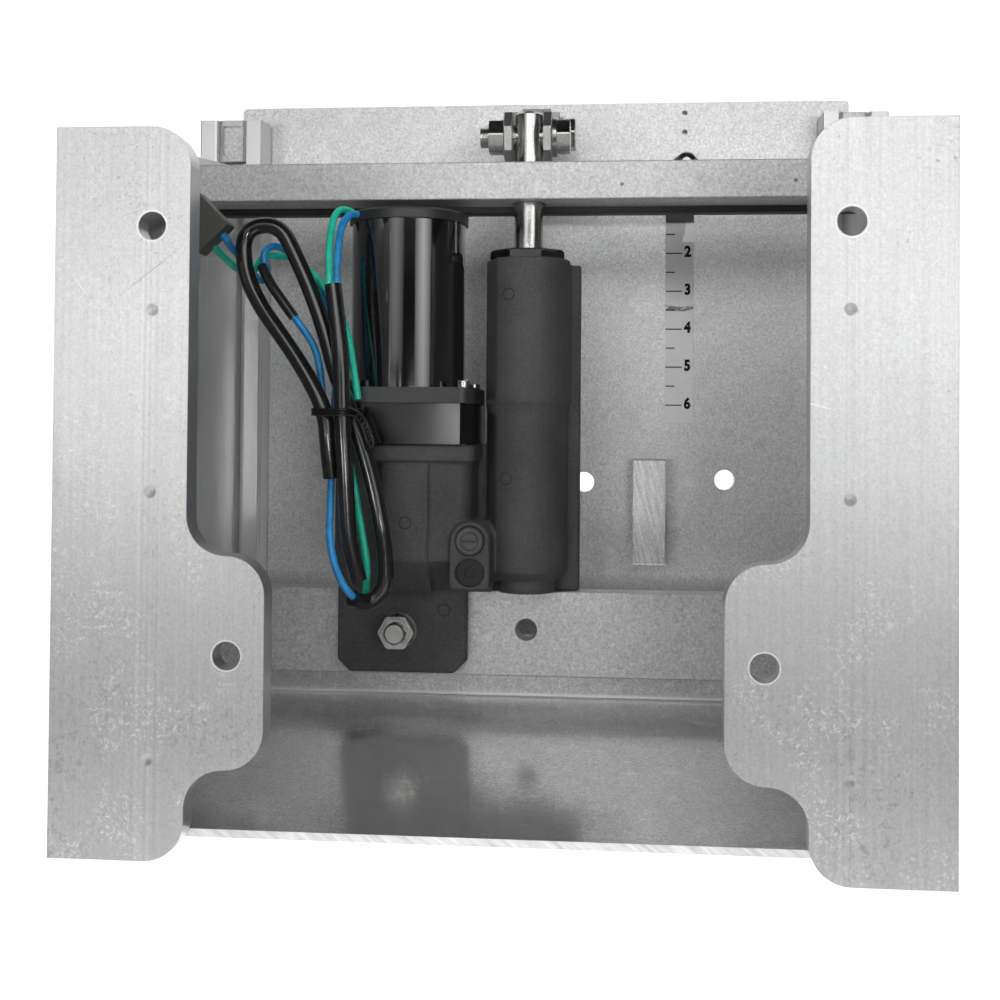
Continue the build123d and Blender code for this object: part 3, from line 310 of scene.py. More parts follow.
def metal_face(name, base, metal, rough, line=0.0, mottle=0.05, grain=0.04, cloud=0.05, hair=0.06, hairs=0.0, speck=0.0,
               stroke=0.0, bevel=0.0005, grain_scale=1500.0, mottle_scale=150.0, side=None, stroke_angle=12.0, bump=0.10, band=0.0, hair_scale=260.0,
               low_shade=None, dots=(), fade=None, wear=0.0, rims=()):
    """Flat rolled or sawn aluminium. side = (base, metallic, roughness) of the narrow side faces."""
    m = Mat(name, bevel)
    g = m.noise(grain_scale, 2.0, 0.6)
    q = m.noise(mottle_scale, 3.0, 0.6, None, 0.6)
    c = m.noise(9.0, 4.0, 0.55)
    t = m.add(None, g, grain * 5)
    t = m.add(t, q, mottle * 4)
    t = m.add(t, c, cloud * 3)
    if line:
        f = m.noise(1.0, 4.0, 0.6, m.mapping((520, 520, 5)))
        if band:
            o = m.sep()
            d = m.math("ABSOLUTE", m.math("SUBTRACT", m.math("ABSOLUTE", o[0]), 0.1635))
            f2 = m.noise(1.0, 2.0, 0.6, m.mapping((420, 420, 2.5), (0, 0, 0), (3, 1, 2)))
            t = m.math("ADD", t, m.math("MULTIPLY", m.math("SUBTRACT", f2, 0.5), m.mrange(d, 0.004, 0.009, band * 6, 0.0)))
        t = m.add(t, f, line * 5)
    if hair:
        t = m.add(t, m.hair(hair_scale, 0.0, 0.075, 1.0), -hair * 1.5, 0.0)
        t = m.add(t, m.hair(hair_scale * 0.75, 3.1, 0.06, 1.0), hair * 1.4, 0.0)
    if hairs:
        t = m.add(t, m.scratch(38.0, 0.72, 14.0), hairs * 2, 0.0)
        t = m.add(t, m.scratch(-52.0, 0.73, 10.0), -hairs * 2, 0.0)
        t = m.add(t, m.scratch(74.0, 0.74, 16.0), hairs * 2, 0.0)
    if speck:
        sp = m.ramp(m.noise(520.0, 3.0, 0.6, None, 1.2), [(0.60, 0.0), (0.68, 1.0)])
        k = m.ramp(m.noise(15.0, 3.0, 0.6), [(0.48, 0.0), (0.62, 1.0)])
        t = m.add(t, m.math("MULTIPLY", sp, k), -speck, 0.0)
    if stroke:
        f = m.noise(1.0, 3.0, 0.6, m.turned((0, stroke_angle, 0), (560, 560, 40)))
        t = m.add(t, f, stroke * 5)
    if dots or low_shade or fade or wear or rims:
        o = m.sep()
    if wear:
        low = m.mrange(o[2], -0.27, -0.08, 1.0, 0.25)
        nick = m.hair(150.0, 7.3, 0.026, 0.55)
        nick = m.math("MULTIPLY", nick, m.ramp(m.noise(380.0, 2.0, 0.5), [(0.46, 0.0), (0.54, 1.0)]))
        t = m.add(t, m.math("MULTIPLY", nick, low), wear * 2.2, 0.0)
        grime = m.ramp(m.noise(260.0, 4.0, 0.65, None, 1.0), [(0.52, 0.0), (0.64, 1.0)])
        patch = m.ramp(m.noise(26.0, 3.0, 0.6, m.mapping((1, 1, 0.7), (0, 0, 0), (0.31, 0.2, 0.11))), [(0.45, 0.0), (0.62, 1.0)])
        t = m.add(t, m.math("MULTIPLY", m.math("MULTIPLY", grime, patch), low), -wear * 1.1, 0.0)
    val = m.math("MULTIPLY", m.math("ADD", t, 1.0), base)
    # rims are a painted highlight: a ring just outside each hole's radius is made up to 60% brighter, standing in for
    # the chamfer catching light.
    for hx, hz, hr in rims:
        a = m.math("POWER", m.math("SUBTRACT", m.math("ABSOLUTE", o[0]), hx), 2.0)
        b = m.math("POWER", m.math("SUBTRACT", o[2], hz), 2.0)
        d = m.math("SQRT", m.math("ADD", a, b))
        val = m.math("MULTIPLY", val, m.math("ADD", m.mrange(d, hr + 0.0005, hr + 0.0011, 0.60, 0.0), 1.0))
    # fade is painted shade: every face is darkened to fade[2] below z = fade[0], at full tone above fade[1].
    if fade:
        val = m.math("MULTIPLY", val, m.mrange(o[2], fade[0], fade[1], fade[2], 1.0))
    # dots are painted shade: small dark spots standing in for the shade inside small drilled pits.
    for dx, dz in dots:
        a = m.math("POWER", m.math("SUBTRACT", o[0], dx), 2.0)
        b = m.math("POWER", m.math("SUBTRACT", o[2], dz), 2.0)
        val = m.math("MULTIPLY", val, m.mrange(m.math("ADD", a, b), 0.0008 ** 2, 0.0014 ** 2, 0.25, 1.0))
    # low_shade is painted shade: faces looking along -Y are darkened to low_shade[2] below z = low_shade[0], at full
    # tone above low_shade[1].
    if low_shade:
        tc = m.n.new("ShaderNodeTexCoord")
        k = m.mrange(m.sep(tc.outputs["Normal"])[1], -0.9, -0.7, 1.0, 0.0)
        sh = m.mrange(o[2], low_shade[0], low_shade[1], low_shade[2], 1.0)
        val = m.math("MULTIPLY", val, m.math("SUBTRACT", 1.0, m.math("MULTIPLY", k, m.math("SUBTRACT", 1.0, sh))))
    rg = m.math("ADD", m.add(None, q, 0.10), rough)
    rg = m.add(rg, c, 0.10)
    if side:
        k = m.math("ADD", m.facing(0), m.facing(2), True)
        f = m.noise(1.0, 4.0, 0.6, m.mapping((500, 500, 3.2), (0, 0, 0), (1, 5, 2)))
        f2 = m.noise(1.0, 2.0, 0.5, m.mapping((60, 60, 1.1), (0, 0, 0), (4, 2, 2)))
        sv = m.math("MULTIPLY", m.math("ADD", m.add(m.add(None, f, 0.32), f2, 0.30), 1.0), side[0])
        val = m.mix(k, val, sv)
        mt = m.mrange(k, 0.0, 1.0, metal, side[1])
        m.l.new(mt, m.b.inputs["Metallic"])
        rg = m.math("ADD", m.math("MULTIPLY", rg, m.math("SUBTRACT", 1.0, k)), m.math("MULTIPLY", k, side[2]))
    else:
        m.set(Metallic=metal)
    m.color(val)
    m.rough(rg)
    m.bump(m.math("ADD", g, m.math("MULTIPLY", q, 0.7)), bump, 0.00012)
    return m.done()


def coated(name, base, rough, grain=900.0, bump=0.25, dist=0.0002, coat=0.0, metal=0.0, bevel=0.0006, spread=0.25, dust=0.0,
           ior=1.5, coat_ior=1.5, marks=()):
    m = Mat(name, bevel)
    g = m.noise(grain, 3.0, 0.6)
    c = m.noise(22.0, 3.0, 0.55)
    f = m.math("ADD", m.math("MULTIPLY", g, 0.45), m.math("MULTIPLY", c, 0.55))
    lo = tuple(v * (1 - spread) for v in base)
    hi = tuple(min(1, v * (1 + spread) + dust) for v in base)
    col = m.mix(m.mrange(f, 0.35, 0.65, 0, 1), lo, hi)
    if marks:
        o = m.sep()
        tc = m.n.new("ShaderNodeTexCoord")
        front = m.mrange(m.sep(tc.outputs["Normal"])[1], -0.8, -0.6, 1.0, 0.0)
        # Marks are ejector-pin rings: partly real, a groove in the bump, and partly painted shade, the colour darkened
        # to 30% in the groove.
        for mx, mz, mr in marks:
            a = m.math("POWER", m.math("SUBTRACT", o[0], mx), 2.0)
            b = m.math("POWER", m.math("SUBTRACT", o[2], mz), 2.0)
            d = m.math("ABSOLUTE", m.math("SUBTRACT", m.math("SQRT", m.math("ADD", a, b)), mr))
            k = m.math("MULTIPLY", m.mrange(d, 0.00022, 0.00045, 1.0, 0.0), front)
            col = m.mix(k, col, tuple(v * 0.30 for v in base))
            g = m.math("SUBTRACT", g, m.math("MULTIPLY", k, 1.5))
    m.color(col)
    m.rough(m.mrange(c, 0.3, 0.7, max(0.02, rough - 0.05), rough + 0.06))
    m.set(Metallic=metal, Coat_Weight=coat, Coat_Roughness=0.06, IOR=ior, Coat_IOR=coat_ior)
    m.bump(g, bump, dist)
    return m.done()


def turned(name, base, rough, centre=None, bevel=0.0003):
    """Machined steel: fine grain and a little wear."""
    m = Mat(name, bevel)
    g = m.noise(700.0, 2.0, 0.6)
    c = m.noise(60.0, 3.0, 0.6)
    m.color(m.mix(m.mrange(m.math("ADD", m.math("MULTIPLY", g, 0.5), m.math("MULTIPLY", c, 0.5)), 0.38, 0.62, 0, 1),
                  tuple(v * 0.8 for v in base), tuple(min(1, v * 1.1) for v in base)))
    m.rough(m.mrange(c, 0.3, 0.7, max(0.03, rough - 0.05), rough + 0.08))
    m.set(Metallic=1.0)
    m.bump(g, 0.05, 0.0001)
    return m.done()


M = {
    # brushed_alu: low_shade paints shade on the lower front faces of the brackets; rims paints a highlight round the
    # two holes.
    "brushed_alu": metal_face("brushed_alu", 0.86, 0.40, 0.42, line=0.050, mottle=0.030, grain=0.065, cloud=0.022, hair=0.040, hairs=0.14,
                              speck=0.34, bevel=0.0007, side=(0.65, 0.80, 0.30), band=0.09, bump=0.12, grain_scale=650.0, mottle_scale=240.0,
                              hair_scale=300.0, low_shade=(-0.235, -0.035, 0.67),
                              wear=0.22, rims=((0.1635, 0.0, 0.00675), (0.125, -0.2032, 0.00675))),
    # mill_plate: low_shade is a painted shadow on the engine plate behind the lower crossbar; fade is painted shade,
    # darker towards the bottom.
    "mill_plate": metal_face("mill_plate", 0.82, 0.5, 0.46, mottle=0.045, grain=0.13, cloud=0.018, hair=0.12, hairs=0.10, speck=0.12, bump=0.25,
                             grain_scale=620.0, mottle_scale=210.0, hair_scale=300.0, low_shade=(-0.215, -0.190, 0.22), fade=(-0.17, -0.03, 0.82)),
    # mill_bar: its dots paint shade into two small drilled pits on the upper crossbar.
    "mill_bar": metal_face("mill_bar", 0.63, 0.5, 0.45, mottle=0.08, grain=0.15, cloud=0.035, hair=0.13, grain_scale=480.0, mottle_scale=230.0,
                           bump=0.3, hair_scale=330.0, dots=((0.0572, 0.0489), (0.1572, 0.0503))),
    # mill_bar_low is a lighter copy of mill_bar (base 0.66 against 0.63) for the lower crossbar: painted light, raised
    # to match how that bar is lit.
    "mill_bar_low": metal_face("mill_bar_low", 0.66, 0.5, 0.45, mottle=0.08, grain=0.14, cloud=0.035, hair=0.13, grain_scale=480.0,
                               mottle_scale=230.0, bump=0.3, hair_scale=330.0),
    "block_alu": metal_face("block_alu", 0.78, 0.6, 0.42, mottle=0.06, grain=0.14, cloud=0.06, hair=0.0, stroke=0.26, grain_scale=600.0, bump=0.3),
    "bright_alu": brushed("bright_alu", (0.77, 0.77, 0.765), 0.66, 0.32, streak=0.05, cloud=0.03, bevel=0.0004),
    "stainless": turned("stainless", (0.50, 0.495, 0.48), 0.27),
    "stainless_plate": turned("stainless_plate", (0.52, 0.52, 0.51), 0.42),
    "steel": turned("steel", (0.42, 0.42, 0.43), 0.35),
    "chrome_rod": turned("chrome_rod", (0.62, 0.61, 0.595), 0.20, bevel=0.0004),
    # cast: its marks are ejector-pin ring grooves, with painted shade darkening the colour in them.
    "cast": coated("cast", (0.067, 0.067, 0.068), 0.62, grain=700.0, bump=0.45, dist=0.00030, spread=0.34, dust=0.004,
                   marks=((-0.0658, -0.1491, 0.0034), (-0.0083, -0.0158, 0.0034), (-0.0093, -0.1237, 0.0034), (-0.0469, -0.2025, 0.0035))),
    "satin_black": coated("satin_black", (0.030, 0.031, 0.031), 0.36, grain=1600.0, bump=0.10, dist=0.0001, spread=0.2),
    "gloss_black": coated("gloss_black", (0.006, 0.0065, 0.0075), 0.09, grain=300.0, bump=0.02, dist=0.0001, coat=1.0, spread=0.2, ior=1.6, coat_ior=1.85),
    "pump_black": coated("pump_black", (0.007, 0.007, 0.007), 0.13, grain=900.0, bump=0.04, dist=0.0001, coat=0.3, spread=0.2),
    "rubber": coated("rubber", (0.012, 0.012, 0.012), 0.55, grain=1000.0, bump=0.15, spread=0.3),
    "liner": coated("liner", (0.70, 0.70, 0.67), 0.40, grain=500.0, bump=0.05, spread=0.05),
    "bronze": turned("bronze", (0.55, 0.38, 0.19), 0.4),
    "ferrite": coated("ferrite", (0.07, 0.07, 0.075), 0.6),
    "lamination": turned("lamination", (0.30, 0.29, 0.29), 0.45),
    "plug_grey": coated("plug_grey", (0.085, 0.085, 0.083), 0.5, grain=1500.0, bump=0.4, spread=0.3),
    "connector": coated("connector", (0.075, 0.077, 0.062), 0.42, grain=1200.0, bump=0.12, spread=0.15),
}


def polished_sheet():
    """Bottom plate: bright rolled sheet full of fine hairlines, its sawn edges bright with slanted strokes."""
    m = Mat("polished_sheet", 0.0004)
    g = m.noise(600.0, 2.0, 0.6)
    c = m.noise(11.0, 3.0, 0.5)
    h1 = m.hair(300.0, 0.0, 0.085, 1.0)
    h2 = m.hair(230.0, 2.2, 0.06, 1.0)
    h3 = m.hair(420.0, 5.2, 0.08, 1.0)
    t = m.add(None, g, 0.30)
    t = m.add(t, c, 0.05)
    t = m.add(t, h1, -0.24, 0.0)
    t = m.add(t, h2, 0.10, 0.0)
    t = m.add(t, h3, -0.16, 0.0)
    val = m.math("MULTIPLY", m.math("ADD", t, 1.0), 0.99, True)
    k = m.facing(1, 0.75, 0.9)
    st = m.noise(1.0, 3.0, 0.6, m.turned((0, 52.0, 0), (420, 420, 30)))
    o = m.sep()
    front = m.mrange(o[1], 0.12, 0.16, 1.0, 0.0)
    k = m.math("MULTIPLY", k, front)
    ev = m.math("MULTIPLY", m.math("ADD", m.add(None, st, 0.9), 1.0), 0.86)
    lip = m.math("MULTIPLY", m.facing(1, 0.6, 0.8), m.mrange(o[1], 0.12, 0.16, 0.0, 1.0))
    val = m.mix(m.math("MULTIPLY", lip, 0.08), val, (0.06, 0.06, 0.06))
    fold = m.math("MULTIPLY", m.mrange(o[2], -0.2568, -0.2550, 1.0, 0.0), m.mrange(o[1], 0.2050, 0.2075, 0.0, 1.0))
    val = m.mix(fold, val, (0.99, 0.99, 0.99))
    m.color(m.mix(k, val, ev))
    rg = m.math("ADD", m.math("MULTIPLY", k, 0.30), m.mrange(c, 0.3, 0.7, 0.07, 0.085))
    rg = m.math("ADD", rg, m.math("MULTIPLY", lip, 0.25))
    rg = m.math("ADD", rg, m.math("MULTIPLY", m.math("ADD", h1, h3), 0.07))
    m.rough(rg)
    m.l.new(m.math("SUBTRACT", m.mrange(k, 0.0, 1.0, 0.78, 0.45), m.math("MULTIPLY", lip, 0.28)), m.b.inputs["Metallic"])
    m.bump(m.math("ADD", g, m.math("MULTIPLY", h1, 1.0)), 0.02, 0.0001)
    return m.done()


def vinyl(name, base, rough, coat, wrinkle):
    m = Mat(name, 0)
    n = m.noise(120.0, 3.0, 0.6)
    w = m.noise(34.0, 2.0, 0.5, None, 0.8)
    m.color(m.mix(m.mrange(n, 0.35, 0.65, 0, 1), tuple(v * 0.8 for v in base), tuple(min(1, v * 1.2) for v in base)))
    m.rough(m.mrange(w, 0.3, 0.7, rough - 0.06, rough + 0.08))
    m.set(Coat_Weight=coat, Coat_Roughness=0.12)
    m.bump(m.math("ADD", w, m.math("MULTIPLY", n, 0.3)), wrinkle, 0.0006)
    return m.done()


def scale_film():
    """Plain scale film: pale grey with a faintly blotched silver tone, lighter patch at its upper right corner."""
    m = Mat("scale_film", 0.0002)
    o = m.sep()
    c = m.noise(70.0, 3.0, 0.55)
    n = m.noise(900.0, 2.0, 0.5)
    base = m.mix(m.mrange(m.math("ADD", m.math("MULTIPLY", c, 0.7), m.math("MULTIPLY", n, 0.3)), 0.38, 0.62, 0, 1), (0.90, 0.90, 0.91), (0.98, 0.98, 0.98))
    edge = m.math("ADD", o[2], m.math("MULTIPLY", m.math("SUBTRACT", c, 0.5), 0.006))
    up = m.mrange(edge, -0.012, 0.012, 0.0, 1.0)
    base = m.mix(up, base, (0.60, 0.60, 0.605))
    sm = m.math("MULTIPLY", m.mrange(edge, -0.0150, -0.0142, 0.0, 1.0), m.mrange(edge, -0.0118, -0.0110, 1.0, 0.0))
    ragged = m.ramp(m.noise(1.0, 4.0, 0.7, m.mapping((240, 240, 900))), [(0.36, 0.0), (0.50, 1.0)])
    base = m.mix(m.math("MULTIPLY", sm, ragged), base, (0.22, 0.22, 0.225))
    a = m.mrange(m.math("ADD", o[0], m.math("MULTIPLY", m.math("SUBTRACT", c, 0.5), 0.008)), 0.0967, 0.0975, 0, 1)
    b = m.mrange(o[2], 0.0315, 0.0325, 0, 1)
    m.color(m.mix(m.math("MULTIPLY", a, b, True), base, (0.97, 0.97, 0.97)))
    m.rough(m.mrange(c, 0.3, 0.7, 0.36, 0.48))
    m.set(Metallic=0.10)
    m.bump(n, 0.05, 0.0001)
    return m.done()


M["polished_sheet"] = polished_sheet()
M["scale_film"] = scale_film()
M["sleeve"] = vinyl("sleeve", (0.012, 0.012, 0.0115), 0.22, 0.85, 0.60)
M["sleeve_thin"] = vinyl("sleeve_thin", (0.016, 0.016, 0.0155), 0.30, 0.4, 0.35)
M["wire_green"] = vinyl("wire_green", (0.020, 0.62, 0.42), 0.34, 0.15, 0.10)
M["wire_blue"] = vinyl("wire_blue", (0.024, 0.29, 0.66), 0.34, 0.15, 0.10)
M["tie_wire"] = vinyl("tie_wire", (0.010, 0.010, 0.010), 0.34, 0.2, 0.2)
M["print_black"] = coated("print_black", (0.004, 0.004, 0.0045), 0.62, grain=800.0, bump=0.03, bevel=0, spread=0.2, ior=1.25)


def put(obj, key):
    if len(obj.material_slots) == 0:
        obj.data.materials.append(M[key])
    else:
        for s in obj.material_slots:
            s.link = "OBJECT"
            s.material = M[key]


LOOK = {
    "transom_bracket_left": "brushed_alu", "transom_bracket_right": "brushed_alu", "upper_crossbar": "mill_bar",
    "lower_crossbar": "mill_bar_low", "crossbar_bumper": "rubber", "bottom_plate": "polished_sheet", "crossbar_screws": "stainless",
    "plate_screws": "stainless", "actuator_housing": "cast", "cylinder_gland": "gloss_black", "rod_wiper": "rubber",
    "adapter_flange": "satin_black", "pump_block": "pump_black", "housing_screws": "stainless", "motor_can": "gloss_black",
    "motor_cap": "satin_black", "motor_bearings": "bronze", "motor_magnets": "ferrite", "fill_plug": "rubber",
    "foot_bolt": "stainless", "flange_nut": "stainless", "connector": "connector", "cable_tie": "rubber",
    "engine_plate": "mill_plate", "slide_rail_left": "bright_alu", "slide_rail_right": "bright_alu",
    "slide_liner_left": "liner", "slide_liner_right": "liner", "rail_screws": "stainless", "lift_rod": "chrome_rod",
    "piston": "steel", "piston_seal": "rubber", "link_plates": "stainless_plate", "link_bolts": "stainless",
    "link_nuts": "stainless", "link_washers": "stainless", "link_spacers": "stainless", "lift_block": "bright_alu",
    "block_screws": "stainless", "rail_stops": "mill_bar", "plate_block": "block_alu", "plate_block_screws": "stainless", "height_scale": "scale_film",
    "scale_clip": "satin_black", "clip_screw": "stainless", "armature_core": "lamination", "motor_shaft": "steel",
    "drive_gear": "steel", "idler_gear": "steel", "release_valve": "plug_grey",
}
for n, key in LOOK.items():
    put(NODES[n], key)
for n, ob in cords.items():
    key = "wire_green" if "green" in n else "wire_blue" if "blue" in n else "sleeve_thin" if n == "sleeve_thin" else "sleeve"
    put(ob, key)


def new_mesh(name, bm, key, body="mount_frame", smooth=None):
    me = bpy.data.meshes.new(name)
    bm.normal_update()
    bm.to_mesh(me)
    bm.free()
    ob = bpy.data.objects.new(name, me)
    S.collection.objects.link(ob)
    if smooth is not None:
        for p in me.polygons:
            p.use_smooth = True
        try:
            me.set_sharp_from_angle(angle=math.radians(smooth))
        except Exception:
            pass
    put(ob, key)
    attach(ob, body)
    return ob


# ------------------------------------------------------------------ casting with soft edges
src = NODES["actuator_housing"]
tmp = bpy.data.objects.new("cast_source", src.data.copy())
S.collection.objects.link(tmp)
rm = tmp.modifiers.new("r", "REMESH")
rm.mode = "VOXEL"
rm.voxel_size = 0.0009
rm.adaptivity = 0.0
sm = tmp.modifiers.new("s", "SMOOTH")
sm.factor = 0.5
sm.iterations = 7
dg = bpy.context.evaluated_depsgraph_get()
me = bpy.data.meshes.new_from_object(tmp.evaluated_get(dg))
bpy.data.objects.remove(tmp)
for p in me.polygons:
    p.use_smooth = True
cast = bpy.data.objects.new("actuator_casting", me)
S.collection.objects.link(cast)
put(cast, "cast")
for s in cast.material_slots:
    s.material = M["cast"]
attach(cast, "mount_frame")
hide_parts("actuator_housing")

# ------------------------------------------------------------------ height scale print
bm = bmesh.new()


def add_box(bm, x0, x1, y0, y1, z0, z1):
    vs = [bm.verts.new((x * MM, y * MM, z * MM)) for x in (x0, x1) for y in (y0, y1) for z in (z0, z1)]
    for f in ((0, 1, 3, 2), (4, 6, 7, 5), (0, 4, 5, 1), (2, 3, 7, 6), (0, 2, 6, 4), (1, 5, 7, 3)):
        bm.faces.new([vs[i] for i in f])


SC_Y = 292.1 - 1.0
for k in range(10):
    z = 24.5 + 12.7 - 12.7 * k
    x1 = 85.35 + (10.9 if k % 2 else 6.0)
    add_box(bm, 85.35, x1, SC_Y - 0.06, SC_Y + 0.15, z - 0.38, z + 0.38)
bmesh.ops.recalc_face_normals(bm, faces=bm.faces)
new_mesh("scale_ticks", bm, "print_black", "carriage")
for i in range(5):
    cu = bpy.data.curves.new("scale_number_%d" % (i + 2), "FONT")
    cu.body = str(i + 2)
    cu.size = 0.0098
    cu.extrude = 0.00006
    cu.offset = 0.00048
    cu.align_x = "CENTER"
    cu.align_y = "CENTER"
    cu.resolution_u = 6
    ob = bpy.data.objects.new("scale_number_%d" % (i + 2), cu)
    S.collection.objects.link(ob)
    ob.rotation_euler = (math.radians(90), 0, 0)
    ob.scale = (0.86, 1.0, 1.0)
    ob.location = (0.0999, (SC_Y - 0.03) * MM, (24.5 + 0.9 - 25.4 * i) * MM)
    bpy.context.view_layer.update()
    put(ob, "print_black")
    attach(ob, "carriage")

# ------------------------------------------------------------------ wire tie round the bundle
circles = [(-93.8, 133.8, 5.2), (-95.8, 134.2, 5.2), (-97.7, 124.1, 4.9), (-109.5, 129.9, 5.4), (-108.0, 129.5, 5.2),
           (-111.2, 138.8, 2.4), (-105.6, 139.9, 2.3)]


def hull(points):
    points = sorted(set(points))

    def half(seq):
        h = []
        for p in seq:
            while len(h) > 1 and (h[-1][0] - h[-2][0]) * (p[1] - h[-2][1]) - (h[-1][1] - h[-2][1]) * (p[0] - h[-2][0]) <= 0:
                h.pop()
            h.append(p)
        return h
    a, b = half(points), half(points[::-1])
    return a[:-1] + b[:-1]


def ring(extra):
    pts = []
    for (x, y, r) in circles:
        for k in range(16):
            t = 2 * math.pi * k / 16
            pts.append((round(x + (r + extra) * math.cos(t), 3), round(y + (r + extra) * math.sin(t), 3)))
    return hull(pts)


def resample(poly, n):
    seg = [math.dist(poly[i], poly[(i + 1) % len(poly)]) for i in range(len(poly))]
    tot = sum(seg)
    out = []
    for k in range(n):
        d = tot * k / n
        i = 0
        while d > seg[i]:
            d -= seg[i]
            i += 1
        a, b = poly[i], poly[(i + 1) % len(poly)]
        out.append((a[0] + (b[0] - a[0]) * d / seg[i], a[1] + (b[1] - a[1]) * d / seg[i]))
    return out


hp = resample(ring(1.0), 40)
N = len(hp)
# start on the right side of the bundle
st = max(range(N), key=lambda i: hp[i][0])
tie_pts = []
turns = 3
for k in range(turns * N + 1):
    x, y = hp[(st + k) % N]
    f = k / (turns * N)
    z = -83.3 - 4.4 * f + 0.35 * math.sin(2 * math.pi * k / N + 0.7)
    tie_pts.append((x, y, z))


def tube(name, strands, r, key, body="mount_frame"):
    cu = bpy.data.curves.new(name, "CURVE")
    cu.dimensions = "3D"
    for pts in strands:
        sp = cu.splines.new("NURBS")
        sp.points.add(len(pts) - 1)
        for p, q in zip(sp.points, pts):
            p.co = (q[0] * MM, q[1] * MM, q[2] * MM, 1)
        sp.order_u = 4
        sp.use_endpoint_u = True
        sp.resolution_u = 3
    cu.bevel_depth = r * MM
    cu.bevel_resolution = 3
    cu.use_fill_caps = True
    ob = bpy.data.objects.new(name, cu)
    S.collection.objects.link(ob)
    bpy.context.view_layer.update()
    dg = bpy.context.evaluated_depsgraph_get()
    me = bpy.data.meshes.new_from_object(ob.evaluated_get(dg))
    bpy.data.objects.remove(ob)
    for p in me.polygons:
        p.use_smooth = True
    o2 = bpy.data.objects.new(name, me)
    S.collection.objects.link(o2)
    put(o2, key)
    for s in o2.material_slots:
        s.material = M[key]
    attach(o2, body)
    return o2


def twist(a, b, turns, rr, n, phase, sag=0.0):
    a, b = Vector(a), Vector(b)
    d = (b - a).normalized()
    u = d.orthogonal().normalized()
    v = d.cross(u)
    out = []
    for k in range(n + 1):
        t = k / n
        c = a.lerp(b, t) + Vector((math.sin(math.pi * t) * sag, 0, 0))
        w = rr * (1.0 + max(0.0, t - 0.82) * 9)
        ang = phase + 2 * math.pi * turns * min(t, 0.86)
        out.append(c + u * (w * math.cos(ang)) + v * (w * math.sin(ang)))
    return out


knot = Vector((-90.0, 125.6, -85.6))
tail_end = Vector((-80.6, 124.8, -104.5))
strands = [[Vector(p) for p in tie_pts],
           twist(knot, tail_end, 4, 0.85, 72, 0.0, 1.6),
           twist(knot, tail_end, 4, 0.85, 72, math.pi, 1.6),
           [Vector(p) for p in ((-93.5, 120.2, -83.4), (-90.4, 119.6, -84.0), (-87.2, 121.4, -85.4), (-84.2, 123.6, -90.5), (-81.9, 124.2, -96.0),
                                (-80.2, 124.3, -100.5), (-79.6, 124.6, -104.2), (-81.2, 124.8, -106.4), (-82.9, 124.6, -103.6),
                                (-84.2, 124.4, -98.6), (-86.6, 124.0, -92.6), (-89.4, 122.2, -87.8), (-93.0, 119.9, -87.2))]]
tie = tube("bundle_tie", strands, 0.78, "tie_wire")
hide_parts("cable_tie")

# the blue wire's crimp, where it goes into the connector
crimp = tube("wire_blue_crimp", [[Vector(p) for p in ((-169.4, 120.5, 16.8), (-167.6, 120.4, 14.9), (-165.6, 120.4, 12.8), (-164.0, 121.0, 11.1),
                                                      (-164.4, 123.4, 10.9), (-165.0, 126.0, 11.0))]], 2.45, "wire_blue")

# ------------------------------------------------------------------ thread on visible bolt ends
def thread(name, centre, axis, length, r, pitch, body, key="stainless"):
    bm = bmesh.new()
    ax = Vector(axis).normalized()
    u = ax.orthogonal().normalized()
    v = ax.cross(u)
    seg = 40
    steps = int(length / pitch * 4)
    rings = []
    for i in range(steps + 1):
        z = length * i / steps
        ph = (i % 4) / 4.0
        row = []
        for k in range(seg):
            a = 2 * math.pi * k / seg
            w = (z / pitch - k / seg) % 1.0
            depth = abs(w - 0.5) * 2
            rr = r - 0.07 * pitch - 0.52 * pitch * (1 - depth)
            if i == 0 or i == steps:
                rr = r - 0.55 * pitch
            row.append(bm.verts.new(Vector(centre) * MM + (ax * z + (u * math.cos(a) + v * math.sin(a)) * rr) * MM))
        rings.append(row)
    for i in range(steps):
        for k in range(seg):
            bm.faces.new((rings[i][k], rings[i][(k + 1) % seg], rings[i + 1][(k + 1) % seg], rings[i + 1][k]))
    bm.faces.new(list(reversed(rings[0])))
    bm.faces.new(rings[-1])
    bmesh.ops.recalc_face_normals(bm, faces=bm.faces)
    return new_mesh(name, bm, key, body, 40)


thread("foot_bolt_thread", (-74.0, 166.1, -215.0), (0, -1, 0), 2.4, 6.75, 1.6, "mount_frame")
thread("pivot_bolt_thread", (-22.6, 187.0, 80.8), (-1, 0, 0), 4.6, 6.45, 1.5, "carriage")
thread("link_bolt_thread", (-22.6, 255.0, 97.0), (-1, 0, 0), 4.6, 6.45, 1.5, "carriage")

# ------------------------------------------------------------------ floor and light
fm = Mat("floor", 0)
fn = fm.noise(3.0, 3.0, 0.5)
fa = fm.mix(fm.mrange(fn, 0.3, 0.7, 0, 1), (0.90, 0.90, 0.90), (0.93, 0.93, 0.93))
